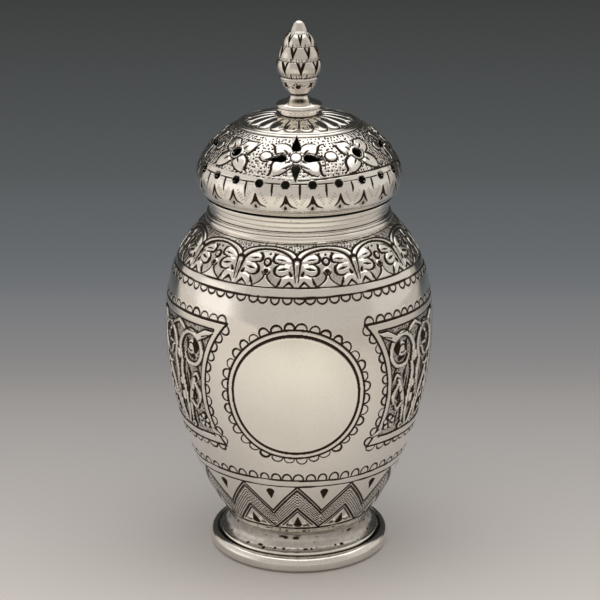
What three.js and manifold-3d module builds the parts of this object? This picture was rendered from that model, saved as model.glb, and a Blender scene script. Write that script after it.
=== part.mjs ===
// A silver pepper pot: a vase-shaped body on a moulded foot, with a pierced pull-off cover
// and a pineapple finial. Millimetres, +Z up. The origin is the centre of the foot's resting
// face, and the front of the pot looks along -Y.
import * as THREE from "three";
import { mergeVertices } from "three/addons/utils/BufferGeometryUtils.js";
import Module from "manifold-3d";

const wasm = await Module();
wasm.setup();

// Fits shared by all pieces
const SEAM = 0.3; // soldered joint, or a cover at rest on its seat
const BEZEL_CLEARANCE = 0.15; // all round, so that the cover pulls off freely
const PIN_CLEARANCE = 0.3; // round the finial pin
const FACETS = 40; // round the pot
const FINE_FACETS = 24; // round the finial's turned pieces

// Foot
const FOOT_WAIST_RADIUS = 13.8; // narrowest point of the hollow moulding
const FOOT_STEP_WIDTH = 1.95; // from the waist to the edge of the step
const FOOT_RING_WIDTH = 2.05; // from the step to the widest point of the ring
const FOOT_RING_HEIGHT = 3.15;
const FOOT_RING_SEAT = 0.9; // how far the step laps over the ring
const FOOT_ROUNDING = 1.3; // radial half-axis of the ring's rounded outer side
const FOOT_COLLAR_HEIGHT = 3.4;
const FOOT_WALL = 0.7;

// Body
const BODY_HEIGHT = 59.5;
const BODY_WALL = 0.6;
const BODY_FLOOR_OVERHANG = 0.2; // the floor's edge beyond the foot's waist
const BODY_CORNER = 0.55; // turn from the floor into the side
const BELLY_RADIUS = 25.93;
const BELLY_HEIGHT = 37.66; // of the widest point above the floor
const MOUTH_EDGE = 0.9; // width of the flat edge at the mouth

// Neck
const NECK_BORE = 16.4; // radius that the cover's bezel slides in
const NECK_WALL = 0.8;
const NECK_RISE = 5.0; // above the body's mouth
const NECK_TAIL = 2.6; // below the body's mouth, inside
const NECK_LIP = 0.6; // flare of the lip
const NECK_LIP_HEIGHT = 1.5;
const NECK_MOULDING_WIDTH = 0.55;
const NECK_MOULDING_HEIGHT = 1.7;
const NECK_REEDS = 3;

// Cover
const COVER_HEIGHT = 15.2; // from the rim's underside to the crown
const COVER_OVERHANG = 1.85; // of the widest point beyond the neck's lip
const COVER_WIDEST_HEIGHT = 3.9; // above the rim's underside
const COVER_WALL = 0.6;
const RIM_HEIGHT = 1.05;
const BEZEL_DEPTH = 6.0; // below the rim, inside the neck
const BEZEL_WALL = 0.6;
const RING_OUTER_RADIUS = 11.75; // plain raised ring round the crown
const RING_WIDTH = 1.2;
const RING_PROUD = 0.2;
const RING_DROP = 1.75; // of the ring's outer edge below the crown
const CROWN_FLAT_RADIUS = 4.1; // where the finial stands

// Piercing of the cover
const ROW_HOLES = 24;
const ROW_HOLE_RADIUS = 0.76;
const ROW_RISE = 2.45; // of the row of holes above the cover's widest point
const FLOWERS = 8; // four-petal piercings and round ones by turns
const FLOWER_TURN = -2; // degrees from the front to the first flower
const FLOWER_RISE = 6.7; // above the cover's widest point
const PETAL_INSET = 1.4; // from the flower's centre to the near end of a petal hole
const UPRIGHT_PETAL_LENGTH = 3.35; // of the two on the upright line
const SIDE_PETAL_LENGTH = 3.8; // of the two beside it
const PETAL_RADIUS = 0.82; // at the round end
const FLOWER_HOLE_RADIUS = 1.1;

// Finial
const PIN_RADIUS = 0.7;
const PIN_HEAD_RADIUS = 1.8;
const PIN_HEAD_HEIGHT = 0.6;
const PIN_IN_BUD = 2.2; // how far the pin reaches into the bud
const COLLET_RADIUS = 3.7;
const COLLET_HEIGHT = 0.55;
const DISC_RADIUS = 4.37;
const DISC_HEIGHT = 0.9;
const STEM_HEIGHT = 2.75; // disc and waist together
const WAIST_RADIUS = 1.65;
const CUP_RADIUS = 3.75;
const CUP_HEIGHT = 3.2;
const CUP_RING_HEIGHT = 0.75;
const BUD_RADIUS = 3.95;
const BUD_HEIGHT = 10.15;
const BUD_TIERS = 3;
const SCALES_PER_TIER = 8;
const SCALE_TIERS_HEIGHT = 7.75; // from the bud's base to the top of the last tier
const SCALE_TURN = 5; // degrees from the front to the first gap between scales
const SCALE_RELIEF = 0.42;
const TIER_STEPS = 4; // levels of facets in each tier

// Heights that follow from the sizes above
const footCollarBase = FOOT_RING_HEIGHT + SEAM;
const bodyBase = footCollarBase + FOOT_COLLAR_HEIGHT + SEAM;
const bodyTop = bodyBase + BODY_HEIGHT;
const neckTop = bodyTop + NECK_RISE;
const coverBase = neckTop + SEAM;
const crownTop = COVER_HEIGHT;
const colletBase = crownTop + SEAM;
const stemBase = colletBase + COLLET_HEIGHT + SEAM;
const cupBase = stemBase + STEM_HEIGHT + SEAM;
const budBase = cupBase + CUP_HEIGHT + SEAM;

// Radii that follow
const footStepRadius = FOOT_WAIST_RADIUS + FOOT_STEP_WIDTH;
const footRingRadius = footStepRadius + FOOT_RING_WIDTH;
const bodyFloorRadius = FOOT_WAIST_RADIUS + BODY_FLOOR_OVERHANG;
const neckRadius = NECK_BORE + NECK_WALL;
const mouthBore = neckRadius + SEAM;
const lipRadius = neckRadius + NECK_LIP;
const bezelRadius = NECK_BORE - BEZEL_CLEARANCE;
const rimBore = bezelRadius + SEAM;
const coverRadius = lipRadius + COVER_OVERHANG;
const pinBore = PIN_RADIUS + PIN_CLEARANCE;

const point = (radius, height) => new THREE.Vector2(radius, height);

const silver = (color, roughness) =>
  new THREE.MeshStandardMaterial({ color, roughness, metalness: 1 });
const polished = silver(0xd8d0c4, 0.2);
const chased = silver(0xcfc7ba, 0.32);
const cast = silver(0xcbc2b3, 0.36);
const inner = silver(0xb8b0a4, 0.4);

// A profile of (radius, height) points turned round the vertical axis. It starts and ends on
// the axis, or runs up the outside and down the inside and is closed here.
function turn(profile, facets = FACETS) {
  const onAxis = profile[0].x === 0 && profile.at(-1).x === 0;
  const outline = onAxis ? profile : [...profile, profile[0].clone()];
  return new THREE.LatheGeometry(outline, facets).rotateX(Math.PI / 2);
}

function mesh(name, geometry, material) {
  const made = new THREE.Mesh(geometry, material);
  made.name = name;
  return made;
}

// The point at a height on a curve whose height only rises
function pointAtHeight(curve, height) {
  let low = 0;
  let high = 1;
  for (let i = 0; i < 40; i++) {
    const middle = (low + high) / 2;
    if (curve.getPoint(middle).y < height) low = middle;
    else high = middle;
  }
  return curve.getPoint((low + high) / 2);
}

// Points on such a curve at evenly spaced heights
function stretch(curve, from, to, steps) {
  return Array.from({ length: steps + 1 }, (_, i) =>
    pointAtHeight(curve, from + ((to - from) * i) / steps),
  );
}

// The inside of a sheet: each outside point moved in by the wall, square to the outline.
// A point on the axis stays there.
function insideOf(outline, wall) {
  return outline.map((p, i) => {
    const before = outline[Math.max(i - 1, 0)];
    const after = outline[Math.min(i + 1, outline.length - 1)];
    const along = after.clone().sub(before).normalize();
    if (p.x === 0) return point(0, p.y + wall);
    return point(p.x - along.y * wall, p.y + along.x * wall);
  });
}

function solidOf(geometry) {
  const bare = geometry.clone();
  bare.deleteAttribute("normal");
  bare.deleteAttribute("uv");
  const merged = mergeVertices(bare, 1e-4);
  return new wasm.Manifold(
    new wasm.Mesh({
      numProp: 3,
      vertProperties: new Float32Array(merged.attributes.position.array),
      triVerts: new Uint32Array(merged.index.array),
    }),
  );
}

function geometryOf(solid) {
  const made = solid.getMesh();
  const geometry = new THREE.BufferGeometry();
  geometry.setAttribute("position", new THREE.BufferAttribute(made.vertProperties, 3));
  geometry.setIndex(new THREE.BufferAttribute(made.triVerts, 1));
  geometry.computeVertexNormals();
  return geometry;
}

function without(geometry, cutters) {
  return geometryOf(
    cutters.reduce((left, cutter) => left.subtract(solidOf(cutter)), solidOf(geometry)),
  );
}

// Foot: a rounded ring that stands on the table, under a hollow moulding
function footRing() {
  const bore = footStepRadius - FOOT_RING_SEAT;
  const centre = footRingRadius - FOOT_ROUNDING;
  const half = FOOT_RING_HEIGHT / 2;
  const side = new THREE.EllipseCurve(
    centre, half, FOOT_ROUNDING, half, -Math.PI / 2, Math.PI / 2,
  );
  return turn([point(bore, 0), ...side.getPoints(6), point(bore, FOOT_RING_HEIGHT)]);
}

function footCollar() {
  const top = footCollarBase + FOOT_COLLAR_HEIGHT;
  const step = footCollarBase + FOOT_WALL / 2;
  const hollow = new THREE.QuadraticBezierCurve(
    point(footStepRadius - FOOT_WALL, step + 0.1),
    point(FOOT_WAIST_RADIUS - 0.05, step + 0.6),
    point(FOOT_WAIST_RADIUS, top - FOOT_WALL),
  );
  const bore = FOOT_WAIST_RADIUS - FOOT_WALL;
  return turn([
    point(footStepRadius - FOOT_WALL, footCollarBase),
    point(footStepRadius, footCollarBase),
    point(footStepRadius, step),
    ...hollow.getPoints(5),
    point(bodyFloorRadius, top),
    point(bore, top),
    point(bore, footCollarBase + FOOT_WALL),
  ]);
}

// Body: one raised cup, from its floor over the belly to the mouth
function bodyOutline(lowerSteps, upperSteps) {
  const start = point(bodyFloorRadius + BODY_CORNER, bodyBase + BODY_CORNER);
  const belly = point(BELLY_RADIUS, bodyBase + BELLY_HEIGHT);
  const mouth = point(mouthBore + MOUTH_EDGE, bodyTop);
  const below = belly.y - start.y;
  const above = mouth.y - belly.y;
  const lower = new THREE.CubicBezierCurve(
    start,
    point(start.x + 0.53 * (belly.x - start.x), start.y + 0.24 * below),
    point(belly.x, belly.y - 0.34 * below),
    belly,
  );
  const upper = new THREE.CubicBezierCurve(
    belly,
    point(belly.x, belly.y + 0.385 * above),
    point(mouth.x + 0.865 * (belly.x - mouth.x), mouth.y - 0.277 * above),
    mouth,
  );
  return [
    point(0, bodyBase),
    point(bodyFloorRadius, bodyBase),
    ...lower.getPoints(lowerSteps),
    ...upper.getPoints(upperSteps).slice(1),
  ];
}

function bodyShell() {
  const throat = bodyTop - BODY_WALL - SEAM;
  const inside = insideOf(bodyOutline(5, 4), BODY_WALL).filter(
    (p) => p.y < throat || p.x > BELLY_RADIUS - BODY_WALL,
  );
  return turn([
    ...bodyOutline(8, 6),
    point(mouthBore, bodyTop),
    point(mouthBore, throat + SEAM / 2),
    ...inside.reverse(),
  ]);
}

// Neck: a plain band that stands in the mouth, and a reeded moulding round it
function neckBand() {
  const foot = bodyTop - NECK_TAIL;
  const flare = new THREE.QuadraticBezierCurve(
    point(neckRadius, neckTop - NECK_LIP_HEIGHT),
    point(neckRadius, neckTop - NECK_LIP_HEIGHT / 3),
    point(lipRadius, neckTop - NECK_WALL / 4),
  );
  return turn([
    point(NECK_BORE, foot),
    point(neckRadius, foot),
    ...flare.getPoints(4),
    point(lipRadius, neckTop),
    point(NECK_BORE, neckTop),
  ]);
}

function neckMoulding() {
  const bore = neckRadius + SEAM;
  const base = bodyTop + SEAM;
  const reed = NECK_MOULDING_HEIGHT / NECK_REEDS;
  const reeds = Array.from({ length: NECK_REEDS }, (_, i) => {
    const start = base + i * reed;
    const root = bore + NECK_MOULDING_WIDTH * (i < NECK_REEDS - 1 ? 0.75 : 0.5);
    const bulge = NECK_MOULDING_WIDTH * 0.25;
    return [point(root, start), point(root + bulge, start + reed / 2)];
  });
  const top = base + NECK_MOULDING_HEIGHT;
  return turn([
    point(bore, base),
    ...reeds.flat(),
    point(bore + NECK_MOULDING_WIDTH * 0.5, top),
    point(bore, top),
  ]);
}

// Cover, in its own frame with the rim's underside at height 0. Its side is one curve from
// the rim to the widest point and another from there to the ring round the crown.
const coverLower = new THREE.QuadraticBezierCurve(
  point(lipRadius, 0),
  point(coverRadius, 0.35 * COVER_WIDEST_HEIGHT),
  point(coverRadius, COVER_WIDEST_HEIGHT),
);
const ringOuter = point(RING_OUTER_RADIUS, COVER_HEIGHT - RING_DROP);
const upperRise = ringOuter.y - COVER_WIDEST_HEIGHT;
const coverUpper = new THREE.CubicBezierCurve(
  point(coverRadius, COVER_WIDEST_HEIGHT),
  point(coverRadius, COVER_WIDEST_HEIGHT + 0.33 * upperRise),
  point(ringOuter.x + 0.42 * (coverRadius - ringOuter.x), ringOuter.y - 0.16 * upperRise),
  ringOuter,
);

// Where a level of the cover's side lies, and how far its outward normal tilts up
function onCoverSide(height) {
  const [below, here, above] = [height - 0.05, height, height + 0.05].map((level) =>
    pointAtHeight(coverUpper, level),
  );
  return {
    radius: here.x,
    height,
    tilt: Math.atan2(below.x - above.x, above.y - below.y),
  };
}

// Sets a cutter that was made along +Z square to the cover's side at a level and an azimuth
// in degrees from the front, turned about its own axis first.
function pierceAt(cutter, height, azimuth, spin = 0) {
  const { radius, tilt } = onCoverSide(height);
  const place = new THREE.Matrix4()
    .makeRotationZ(THREE.MathUtils.degToRad(azimuth))
    .multiply(new THREE.Matrix4().makeTranslation(0, -radius, height))
    .multiply(new THREE.Matrix4().makeRotationX(Math.PI / 2 - tilt))
    .multiply(new THREE.Matrix4().makeRotationZ(spin));
  return cutter.applyMatrix4(place);
}

const cutDepth = 6 * COVER_WALL;

function roundCutter(radius) {
  return new THREE.CylinderGeometry(radius, radius, cutDepth, 8).rotateX(Math.PI / 2);
}

// A petal hole: round towards the flower's centre, pointed away from it, along +Y
function petalCutter(length) {
  const shape = new THREE.Shape();
  const centre = PETAL_INSET + PETAL_RADIUS;
  const tip = PETAL_INSET + length;
  const tangent = Math.asin(PETAL_RADIUS / (tip - centre));
  shape.absarc(0, centre, PETAL_RADIUS, Math.PI - tangent, tangent, false);
  shape.lineTo(0, tip);
  shape.closePath();
  return new THREE.ExtrudeGeometry(shape, {
    depth: cutDepth,
    bevelEnabled: false,
    curveSegments: 3,
  }).translate(0, 0, -cutDepth / 2);
}

function coverPiercings() {
  const row = COVER_WIDEST_HEIGHT + ROW_RISE;
  const flowerLevel = COVER_WIDEST_HEIGHT + FLOWER_RISE;
  const holes = Array.from({ length: ROW_HOLES }, (_, i) =>
    pierceAt(roundCutter(ROW_HOLE_RADIUS), row, ((i + 0.5) * 360) / ROW_HOLES),
  );
  const flowers = Array.from({ length: FLOWERS }, (_, i) => {
    const azimuth = FLOWER_TURN + (i * 360) / FLOWERS;
    if (i % 2 === 1) return [pierceAt(roundCutter(FLOWER_HOLE_RADIUS), flowerLevel, azimuth)];
    return [0, 1, 2, 3].map((quarter) => {
      const length = quarter % 2 === 0 ? UPRIGHT_PETAL_LENGTH : SIDE_PETAL_LENGTH;
      return pierceAt(petalCutter(length), flowerLevel, azimuth, (quarter * Math.PI) / 2);
    });
  });
  return [...holes, ...flowers.flat()];
}

function coverDome() {
  const ringInner = point(RING_OUTER_RADIUS - RING_WIDTH, ringOuter.y + RING_WIDTH * 0.42);
  const crown = new THREE.QuadraticBezierCurve(
    ringInner,
    point((ringInner.x + CROWN_FLAT_RADIUS) / 2, COVER_HEIGHT),
    point(CROWN_FLAT_RADIUS, COVER_HEIGHT),
  );
  const side = (lowerSteps, upperSteps) => [
    ...stretch(coverLower, RIM_HEIGHT + SEAM, COVER_WIDEST_HEIGHT, lowerSteps),
    ...stretch(coverUpper, COVER_WIDEST_HEIGHT, ringOuter.y, upperSteps).slice(1),
  ];
  const ring = [
    point(ringOuter.x - 0.15 * RING_WIDTH, ringOuter.y + RING_PROUD + 0.1),
    point(ringInner.x + 0.2 * RING_WIDTH, ringInner.y + RING_PROUD),
  ];
  const hole = point(pinBore, COVER_HEIGHT);
  const inside = insideOf([...side(2, 4), ...crown.getPoints(1), hole], COVER_WALL);
  const shell = turn([...side(2, 6), ...ring, ...crown.getPoints(2), hole, ...inside.reverse()]);
  return without(shell, coverPiercings());
}

function coverRim() {
  const side = stretch(coverLower, 0, RIM_HEIGHT, 2);
  return turn([point(rimBore, 0), ...side, point(rimBore, RIM_HEIGHT)]);
}

function coverBezel() {
  return turn([
    point(bezelRadius - BEZEL_WALL, -BEZEL_DEPTH),
    point(bezelRadius, -BEZEL_DEPTH),
    point(bezelRadius, RIM_HEIGHT),
    point(bezelRadius - BEZEL_WALL, RIM_HEIGHT),
  ]);
}

// Finial: collet, turned stem, cup and scaled bud, threaded on one pin through the crown
function finialPin() {
  const head = crownTop - COVER_WALL - SEAM - PIN_HEAD_HEIGHT;
  const shank = head + PIN_HEAD_HEIGHT;
  return turn(
    [
      point(0, head),
      point(0.8 * PIN_HEAD_RADIUS, head),
      point(PIN_HEAD_RADIUS, shank),
      point(PIN_RADIUS, shank),
      point(PIN_RADIUS, budBase + PIN_IN_BUD),
      point(0, budBase + PIN_IN_BUD),
    ],
    16,
  );
}

function finialCollet() {
  const half = COLLET_HEIGHT / 2;
  const bead = new THREE.EllipseCurve(
    COLLET_RADIUS - half, colletBase + half, half, half, -Math.PI / 2, Math.PI / 2,
  );
  return turn(
    [
      point(pinBore, colletBase),
      ...bead.getPoints(4),
      point(pinBore, colletBase + COLLET_HEIGHT),
    ],
    FINE_FACETS,
  );
}

function finialStem() {
  const groove = 0.12 * DISC_HEIGHT;
  const discTop = stemBase + DISC_HEIGHT;
  const top = stemBase + STEM_HEIGHT;
  const flare = new THREE.CubicBezierCurve(
    point(DISC_RADIUS - 0.3, discTop + 0.25),
    point(WAIST_RADIUS + 1.3, discTop + 0.75),
    point(WAIST_RADIUS, top - 0.9),
    point(WAIST_RADIUS, top),
  );
  return turn(
    [
      point(pinBore, stemBase),
      point(DISC_RADIUS - 0.15, stemBase),
      point(DISC_RADIUS - 0.05, stemBase + 0.4 * DISC_HEIGHT),
      point(DISC_RADIUS - 0.2, stemBase + 0.4 * DISC_HEIGHT + groove),
      point(DISC_RADIUS, stemBase + 0.4 * DISC_HEIGHT + 2 * groove),
      point(DISC_RADIUS, discTop),
      ...flare.getPoints(5),
      point(pinBore, top),
    ],
    FINE_FACETS,
  );
}

function finialCup() {
  const ring = cupBase + CUP_HEIGHT - CUP_RING_HEIGHT;
  const top = cupBase + CUP_HEIGHT;
  const bowl = new THREE.QuadraticBezierCurve(
    point(WAIST_RADIUS + 0.1, cupBase),
    point(0.81 * CUP_RADIUS, cupBase + 0.35 * CUP_HEIGHT),
    point(CUP_RADIUS - 0.15, ring),
  );
  return turn(
    [
      point(pinBore, cupBase),
      ...bowl.getPoints(5),
      point(CUP_RADIUS, ring + 0.35 * CUP_RING_HEIGHT),
      point(CUP_RADIUS - 0.05, top - 0.3 * CUP_RING_HEIGHT),
      point(CUP_RADIUS - 0.25, top),
      point(pinBore, top),
    ],
    FINE_FACETS,
  );
}

// Radius of the bud's smooth outline at a share of its height: a quick swell from the base,
// then a long taper to a rounded tip.
function budOutline(share) {
  const swell = 0.9 + 0.1 * Math.sin(Math.min(share / 0.22, 1) * (Math.PI / 2));
  const taper = Math.sqrt(Math.max(1 - share ** 1.75, 0)) ** 1.25;
  return BUD_RADIUS * swell * taper;
}

// How far a scale stands proud, from 0 in the gap beside it to 1 on the scale. Scales are
// broad at the base and narrow upwards with bulging edges, so the gaps between them are
// wedges. Each tier is turned by half a scale from the one below.
function scaleLift(share, turns) {
  const tier = share * BUD_TIERS;
  const index = Math.floor(tier);
  const rise = tier - index;
  const along = turns + ((index + 1) % 2) / 2;
  const offCentre = Math.abs(along - Math.round(along)) * 2;
  const halfWidth = 1 - 0.46 * (Math.max(rise - 0.25, 0) / 0.75) ** 1.4;
  return THREE.MathUtils.smoothstep(halfWidth - offCentre, -0.1, 0.12) * (0.7 + 0.3 * rise);
}

// The bud is a solid of revolution whose radius is carried out in each scale
function finialBud() {
  const around = 6 * SCALES_PER_TIER;
  const scaled = SCALE_TIERS_HEIGHT / BUD_HEIGHT;
  const levels = [
    ...Array.from({ length: TIER_STEPS * BUD_TIERS }, (_, i) => (scaled * i) / (TIER_STEPS * BUD_TIERS)),
    scaled + 0.001,
    ...[0.25, 0.5, 0.75, 0.92].map((part) => scaled + part * (1 - scaled)),
  ];
  const radiusAt = (share, turns) => {
    const smooth = budOutline(share);
    if (share >= scaled) return 0.97 * smooth;
    return smooth - SCALE_RELIEF * (1 - scaleLift(share / scaled, turns));
  };
  const positions = [0, 0, budBase];
  for (const share of levels)
    for (let i = 0; i < around; i++) {
      const azimuth = THREE.MathUtils.degToRad(SCALE_TURN + (i * 360) / around);
      const radius = radiusAt(share, (i * SCALES_PER_TIER) / around);
      positions.push(
        radius * Math.sin(azimuth), -radius * Math.cos(azimuth), budBase + share * BUD_HEIGHT,
      );
    }
  positions.push(0, 0, budBase + BUD_HEIGHT);
  const last = 1 + levels.length * around;
  const at = (level, i) => 1 + level * around + (i % around);
  const faces = [];
  for (let i = 0; i < around; i++) {
    faces.push(0, at(0, i + 1), at(0, i));
    for (let level = 0; level < levels.length - 1; level++) {
      faces.push(at(level, i), at(level, i + 1), at(level + 1, i));
      faces.push(at(level, i + 1), at(level + 1, i + 1), at(level + 1, i));
    }
    faces.push(at(levels.length - 1, i), at(levels.length - 1, i + 1), last);
  }
  const bud = new THREE.BufferGeometry();
  bud.setAttribute("position", new THREE.Float32BufferAttribute(positions, 3));
  bud.setIndex(faces);
  const depth = PIN_IN_BUD + SEAM;
  const bore = new THREE.CylinderGeometry(pinBore, pinBore, 2 * depth, 16)
    .rotateX(Math.PI / 2)
    .translate(0, 0, budBase);
  return without(bud, [bore]);
}

// The pot stands on the foot ring, and the cover is a group of its own that lifts off
const pepperPot = new THREE.Group();
pepperPot.add(
  mesh("foot_ring", footRing(), polished),
  mesh("foot_collar", footCollar(), polished),
  mesh("body_shell", bodyShell(), chased),
  mesh("neck_moulding", neckMoulding(), polished),
  mesh("neck_band", neckBand(), polished),
);

const cover = new THREE.Group();
cover.position.z = coverBase;
cover.add(
  mesh("cover_dome", coverDome(), chased),
  mesh("cover_rim", coverRim(), polished),
  mesh("cover_bezel", coverBezel(), inner),
  mesh("finial_pin", finialPin(), inner),
  mesh("finial_collet", finialCollet(), polished),
  mesh("finial_stem", finialStem(), polished),
  mesh("finial_cup", finialCup(), cast),
  mesh("finial_bud", finialBud(), cast),
);
pepperPot.add(cover);

export default pepperPot;
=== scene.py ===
"""Looks of the silver pepper pot: chased and engraved sheet, cast finial, and a plain studio."""
import math

import bmesh
import bpy
import numpy as np
from mathutils import Matrix, Vector


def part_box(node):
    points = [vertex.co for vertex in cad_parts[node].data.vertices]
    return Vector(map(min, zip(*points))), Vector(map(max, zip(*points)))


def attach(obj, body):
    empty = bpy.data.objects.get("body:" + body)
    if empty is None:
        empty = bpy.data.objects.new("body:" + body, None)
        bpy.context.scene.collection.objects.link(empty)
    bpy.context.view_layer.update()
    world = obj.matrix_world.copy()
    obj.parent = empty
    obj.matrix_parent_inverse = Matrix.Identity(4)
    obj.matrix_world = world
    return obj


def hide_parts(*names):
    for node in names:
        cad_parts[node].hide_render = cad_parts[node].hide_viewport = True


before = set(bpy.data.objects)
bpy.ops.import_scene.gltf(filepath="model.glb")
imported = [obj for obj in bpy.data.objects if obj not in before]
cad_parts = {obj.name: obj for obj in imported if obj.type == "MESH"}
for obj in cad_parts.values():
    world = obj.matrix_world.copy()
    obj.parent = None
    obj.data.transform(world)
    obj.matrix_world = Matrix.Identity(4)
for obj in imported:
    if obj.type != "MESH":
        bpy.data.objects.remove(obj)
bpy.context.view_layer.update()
MM = 0.001
rng = np.random.default_rng(7)


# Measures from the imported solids, in millimetres

def extent(node):
    """Foot, top and radius of a turned solid."""
    (_, _, foot), (_, radius, top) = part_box(node)
    return foot / MM, top / MM, radius / MM


_, FOOT_RING_TOP, FOOT_RADIUS = extent("foot_ring")
_, _, STEP_RADIUS = extent("foot_collar")
BODY_BASE, BODY_TOP, BELLY_RADIUS = extent("body_shell")
_, MOULDING_TOP, MOULDING_RADIUS = extent("neck_moulding")
NECK_FOOT, NECK_TOP, LIP_RADIUS = extent("neck_band")
COVER_BASE, RIM_TOP, _ = extent("cover_rim")
_, CROWN_TOP, COVER_RADIUS = extent("cover_dome")
BEZEL_FOOT, BEZEL_TOP, BEZEL_RADIUS = extent("cover_bezel")
PIN_FOOT, PIN_TOP, PIN_HEAD_RADIUS = extent("finial_pin")
_, COLLET_TOP, COLLET_RADIUS = extent("finial_collet")
_, STEM_TOP, DISC_RADIUS = extent("finial_stem")
_, CUP_TOP, CUP_RADIUS = extent("finial_cup")
_, TIP, _ = extent("finial_bud")

# Sizes that the solids have too, but that no box shows, in millimetres
SHEET_WALL = 0.6
FOOT_WAIST = 13.8
FOOT_RING_BORE = 14.85
NECK_BORE = 16.4
NECK_RADIUS = 17.2
BELLY_HEIGHT = 37.66
COVER_WIDEST = 3.9
CROWN_RING = 11.75
CROWN_RING_WIDTH = 1.2
CROWN_RING_DROP = 1.75
CROWN_FLAT = 4.1
PIN_BORE = 1.0
PIN_RADIUS = 0.7
STEM_WAIST = 1.65
SOLDER = 0.03

# Fineness of the meshes: columns round the pot, and millimetres between rows
BODY_COLUMNS, DOME_COLUMNS, FINE_COLUMNS = 1152, 1080, 540
CUP_COLUMNS, BUD_COLUMNS, BUD_ROWS = 480, 640, 340
ROW_PITCH = 0.14


# Lines and curves

def ramp(value, start, end):
    t = np.clip((value - start) / (end - start), 0, 1)
    return t * t * (3 - 2 * t)


def hump(value, middle, width):
    """1 at the middle, falling to 0 on both sides."""
    return np.exp(-(((value - middle) / width) ** 2))


def distances(points):
    """How far along a line each of its points lies."""
    return np.concatenate([[0], np.cumsum(np.linalg.norm(np.diff(points, axis=0), axis=1))])


def point_at(points, along, place):
    return np.stack([np.interp(place, along, points[:, k]) for k in (0, 1)], -1)


def sideways(points):
    """Unit vectors square to a line, on its left."""
    along = np.gradient(points, axis=0)
    along /= np.linalg.norm(along, axis=1)[:, None] + 1e-12
    return np.stack([-along[:, 1], along[:, 0]], 1)


def spread(widths, count):
    """Half-widths at count points, from one width or from several along the line."""
    half = np.atleast_1d(np.array(widths, float)) / 2
    return np.interp(np.linspace(0, 1, count), np.linspace(0, 1, len(half)), half)


def curve(controls, steps):
    """A Bezier curve through (radius, height) controls."""
    t = np.linspace(0, 1, steps + 1)[:, None]
    level = [np.array(c, float) + 0 * t for c in controls]
    while len(level) > 1:
        level = [a * (1 - t) + b * t for a, b in zip(level, level[1:])]
    return level[0]


def arc(radius, height, half_width, half_height, start, end, steps):
    a = np.radians(np.linspace(start, end, steps + 1))
    return np.stack([radius + half_width * np.cos(a), height + half_height * np.sin(a)], 1)


def ring(x, y, radius, start=0, end=360, squash=1.0):
    steps = max(6, int(abs(end - start) / 360 * (10 + 8 * radius)))
    return arc(x, y, radius, radius * squash, start, end, steps)


def joined(*parts):
    return np.concatenate([np.atleast_2d(np.array(p, float)) for p in parts])


def smooth(points, steps=5):
    """A smooth line through the points."""
    p = np.atleast_2d(np.array(points, float))
    if len(p) < 3:
        return p
    p = np.concatenate([[2 * p[0] - p[1]], p, [2 * p[-1] - p[-2]]])
    t = np.linspace(0, 1, steps, endpoint=False)[:, None]
    parts = []
    for a, b, c, d in zip(p, p[1:], p[2:], p[3:]):
        square = (2 * a - 5 * b + 4 * c - d) * t**2
        cube = (3 * b - a - 3 * c + d) * t**3
        parts.append(0.5 * (2 * b + (c - a) * t + square + cube))
    return np.concatenate(parts + [p[-2:-1]])


def eased(outline, size, closed=True, steps=4):
    """The outline with each corner rounded off."""
    straight = -0.93
    p = np.array(outline, float)
    out = []
    for i in range(len(p)):
        before, here, after = p[i - 1], p[i], p[(i + 1) % len(p)]
        a, b = before - here, after - here
        la, lb = np.linalg.norm(a), np.linalg.norm(b)
        is_end = not closed and i in (0, len(p) - 1)
        if is_end or np.dot(a, b) / (la * lb) < straight:
            out.append(here[None])
            continue
        reach = min(size, 0.45 * la, 0.45 * lb)
        out.append(curve([here + a / la * reach, here, here + b / lb * reach], steps))
    return joined(*out)


def dense(outline, step):
    """The outline with points no further apart than step."""
    p = np.array(outline, float)
    parts = []
    for a, b in zip(p, np.roll(p, -1, 0)):
        count = max(int(np.hypot(*(b - a)) / step), 1)
        parts.append(a + (b - a) * (np.arange(count) / count)[:, None])
    return np.concatenate(parts)


# Outlines, as rows of (radius, height)

def body_outline(steps):
    start = (FOOT_WAIST + 0.75, BODY_BASE + 0.55)
    belly = (BELLY_RADIUS, BODY_BASE + BELLY_HEIGHT)
    mouth = (NECK_RADIUS + 1.2, BODY_TOP)
    below, above = belly[1] - start[1], mouth[1] - belly[1]
    swelling = (start[0] + 0.53 * (belly[0] - start[0]), start[1] + 0.24 * below)
    shoulder = (mouth[0] + 0.865 * (belly[0] - mouth[0]), mouth[1] - 0.277 * above)
    lower = [start, swelling, (belly[0], belly[1] - 0.34 * below), belly]
    upper = [belly, (belly[0], belly[1] + 0.385 * above), shoulder, mouth]
    return joined(curve(lower, steps), curve(upper, steps)[1:])


RING_OUTER = (CROWN_RING, CROWN_TOP - CROWN_RING_DROP)
RING_INNER = (CROWN_RING - CROWN_RING_WIDTH, RING_OUTER[1] + 0.42 * CROWN_RING_WIDTH)


def cover_outline(steps):
    """The cover's side from the rim's underside to the ring round the crown."""
    widest = (COVER_RADIUS, COVER_BASE + COVER_WIDEST)
    rise = RING_OUTER[1] - widest[1]
    haunch = (RING_OUTER[0] + 0.42 * (COVER_RADIUS - RING_OUTER[0]), RING_OUTER[1] - 0.16 * rise)
    lower = [(LIP_RADIUS, COVER_BASE), (COVER_RADIUS, COVER_BASE + 0.35 * COVER_WIDEST), widest]
    upper = [widest, (COVER_RADIUS, widest[1] + 0.33 * rise), haunch, RING_OUTER]
    return joined(curve(lower, steps), curve(upper, steps)[1:])


def crown_outline(steps):
    middle = ((RING_INNER[0] + CROWN_FLAT) / 2, CROWN_TOP)
    return curve([RING_INNER, middle, (CROWN_FLAT, CROWN_TOP)], steps)


# A sheet unrolled for chasing

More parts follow.
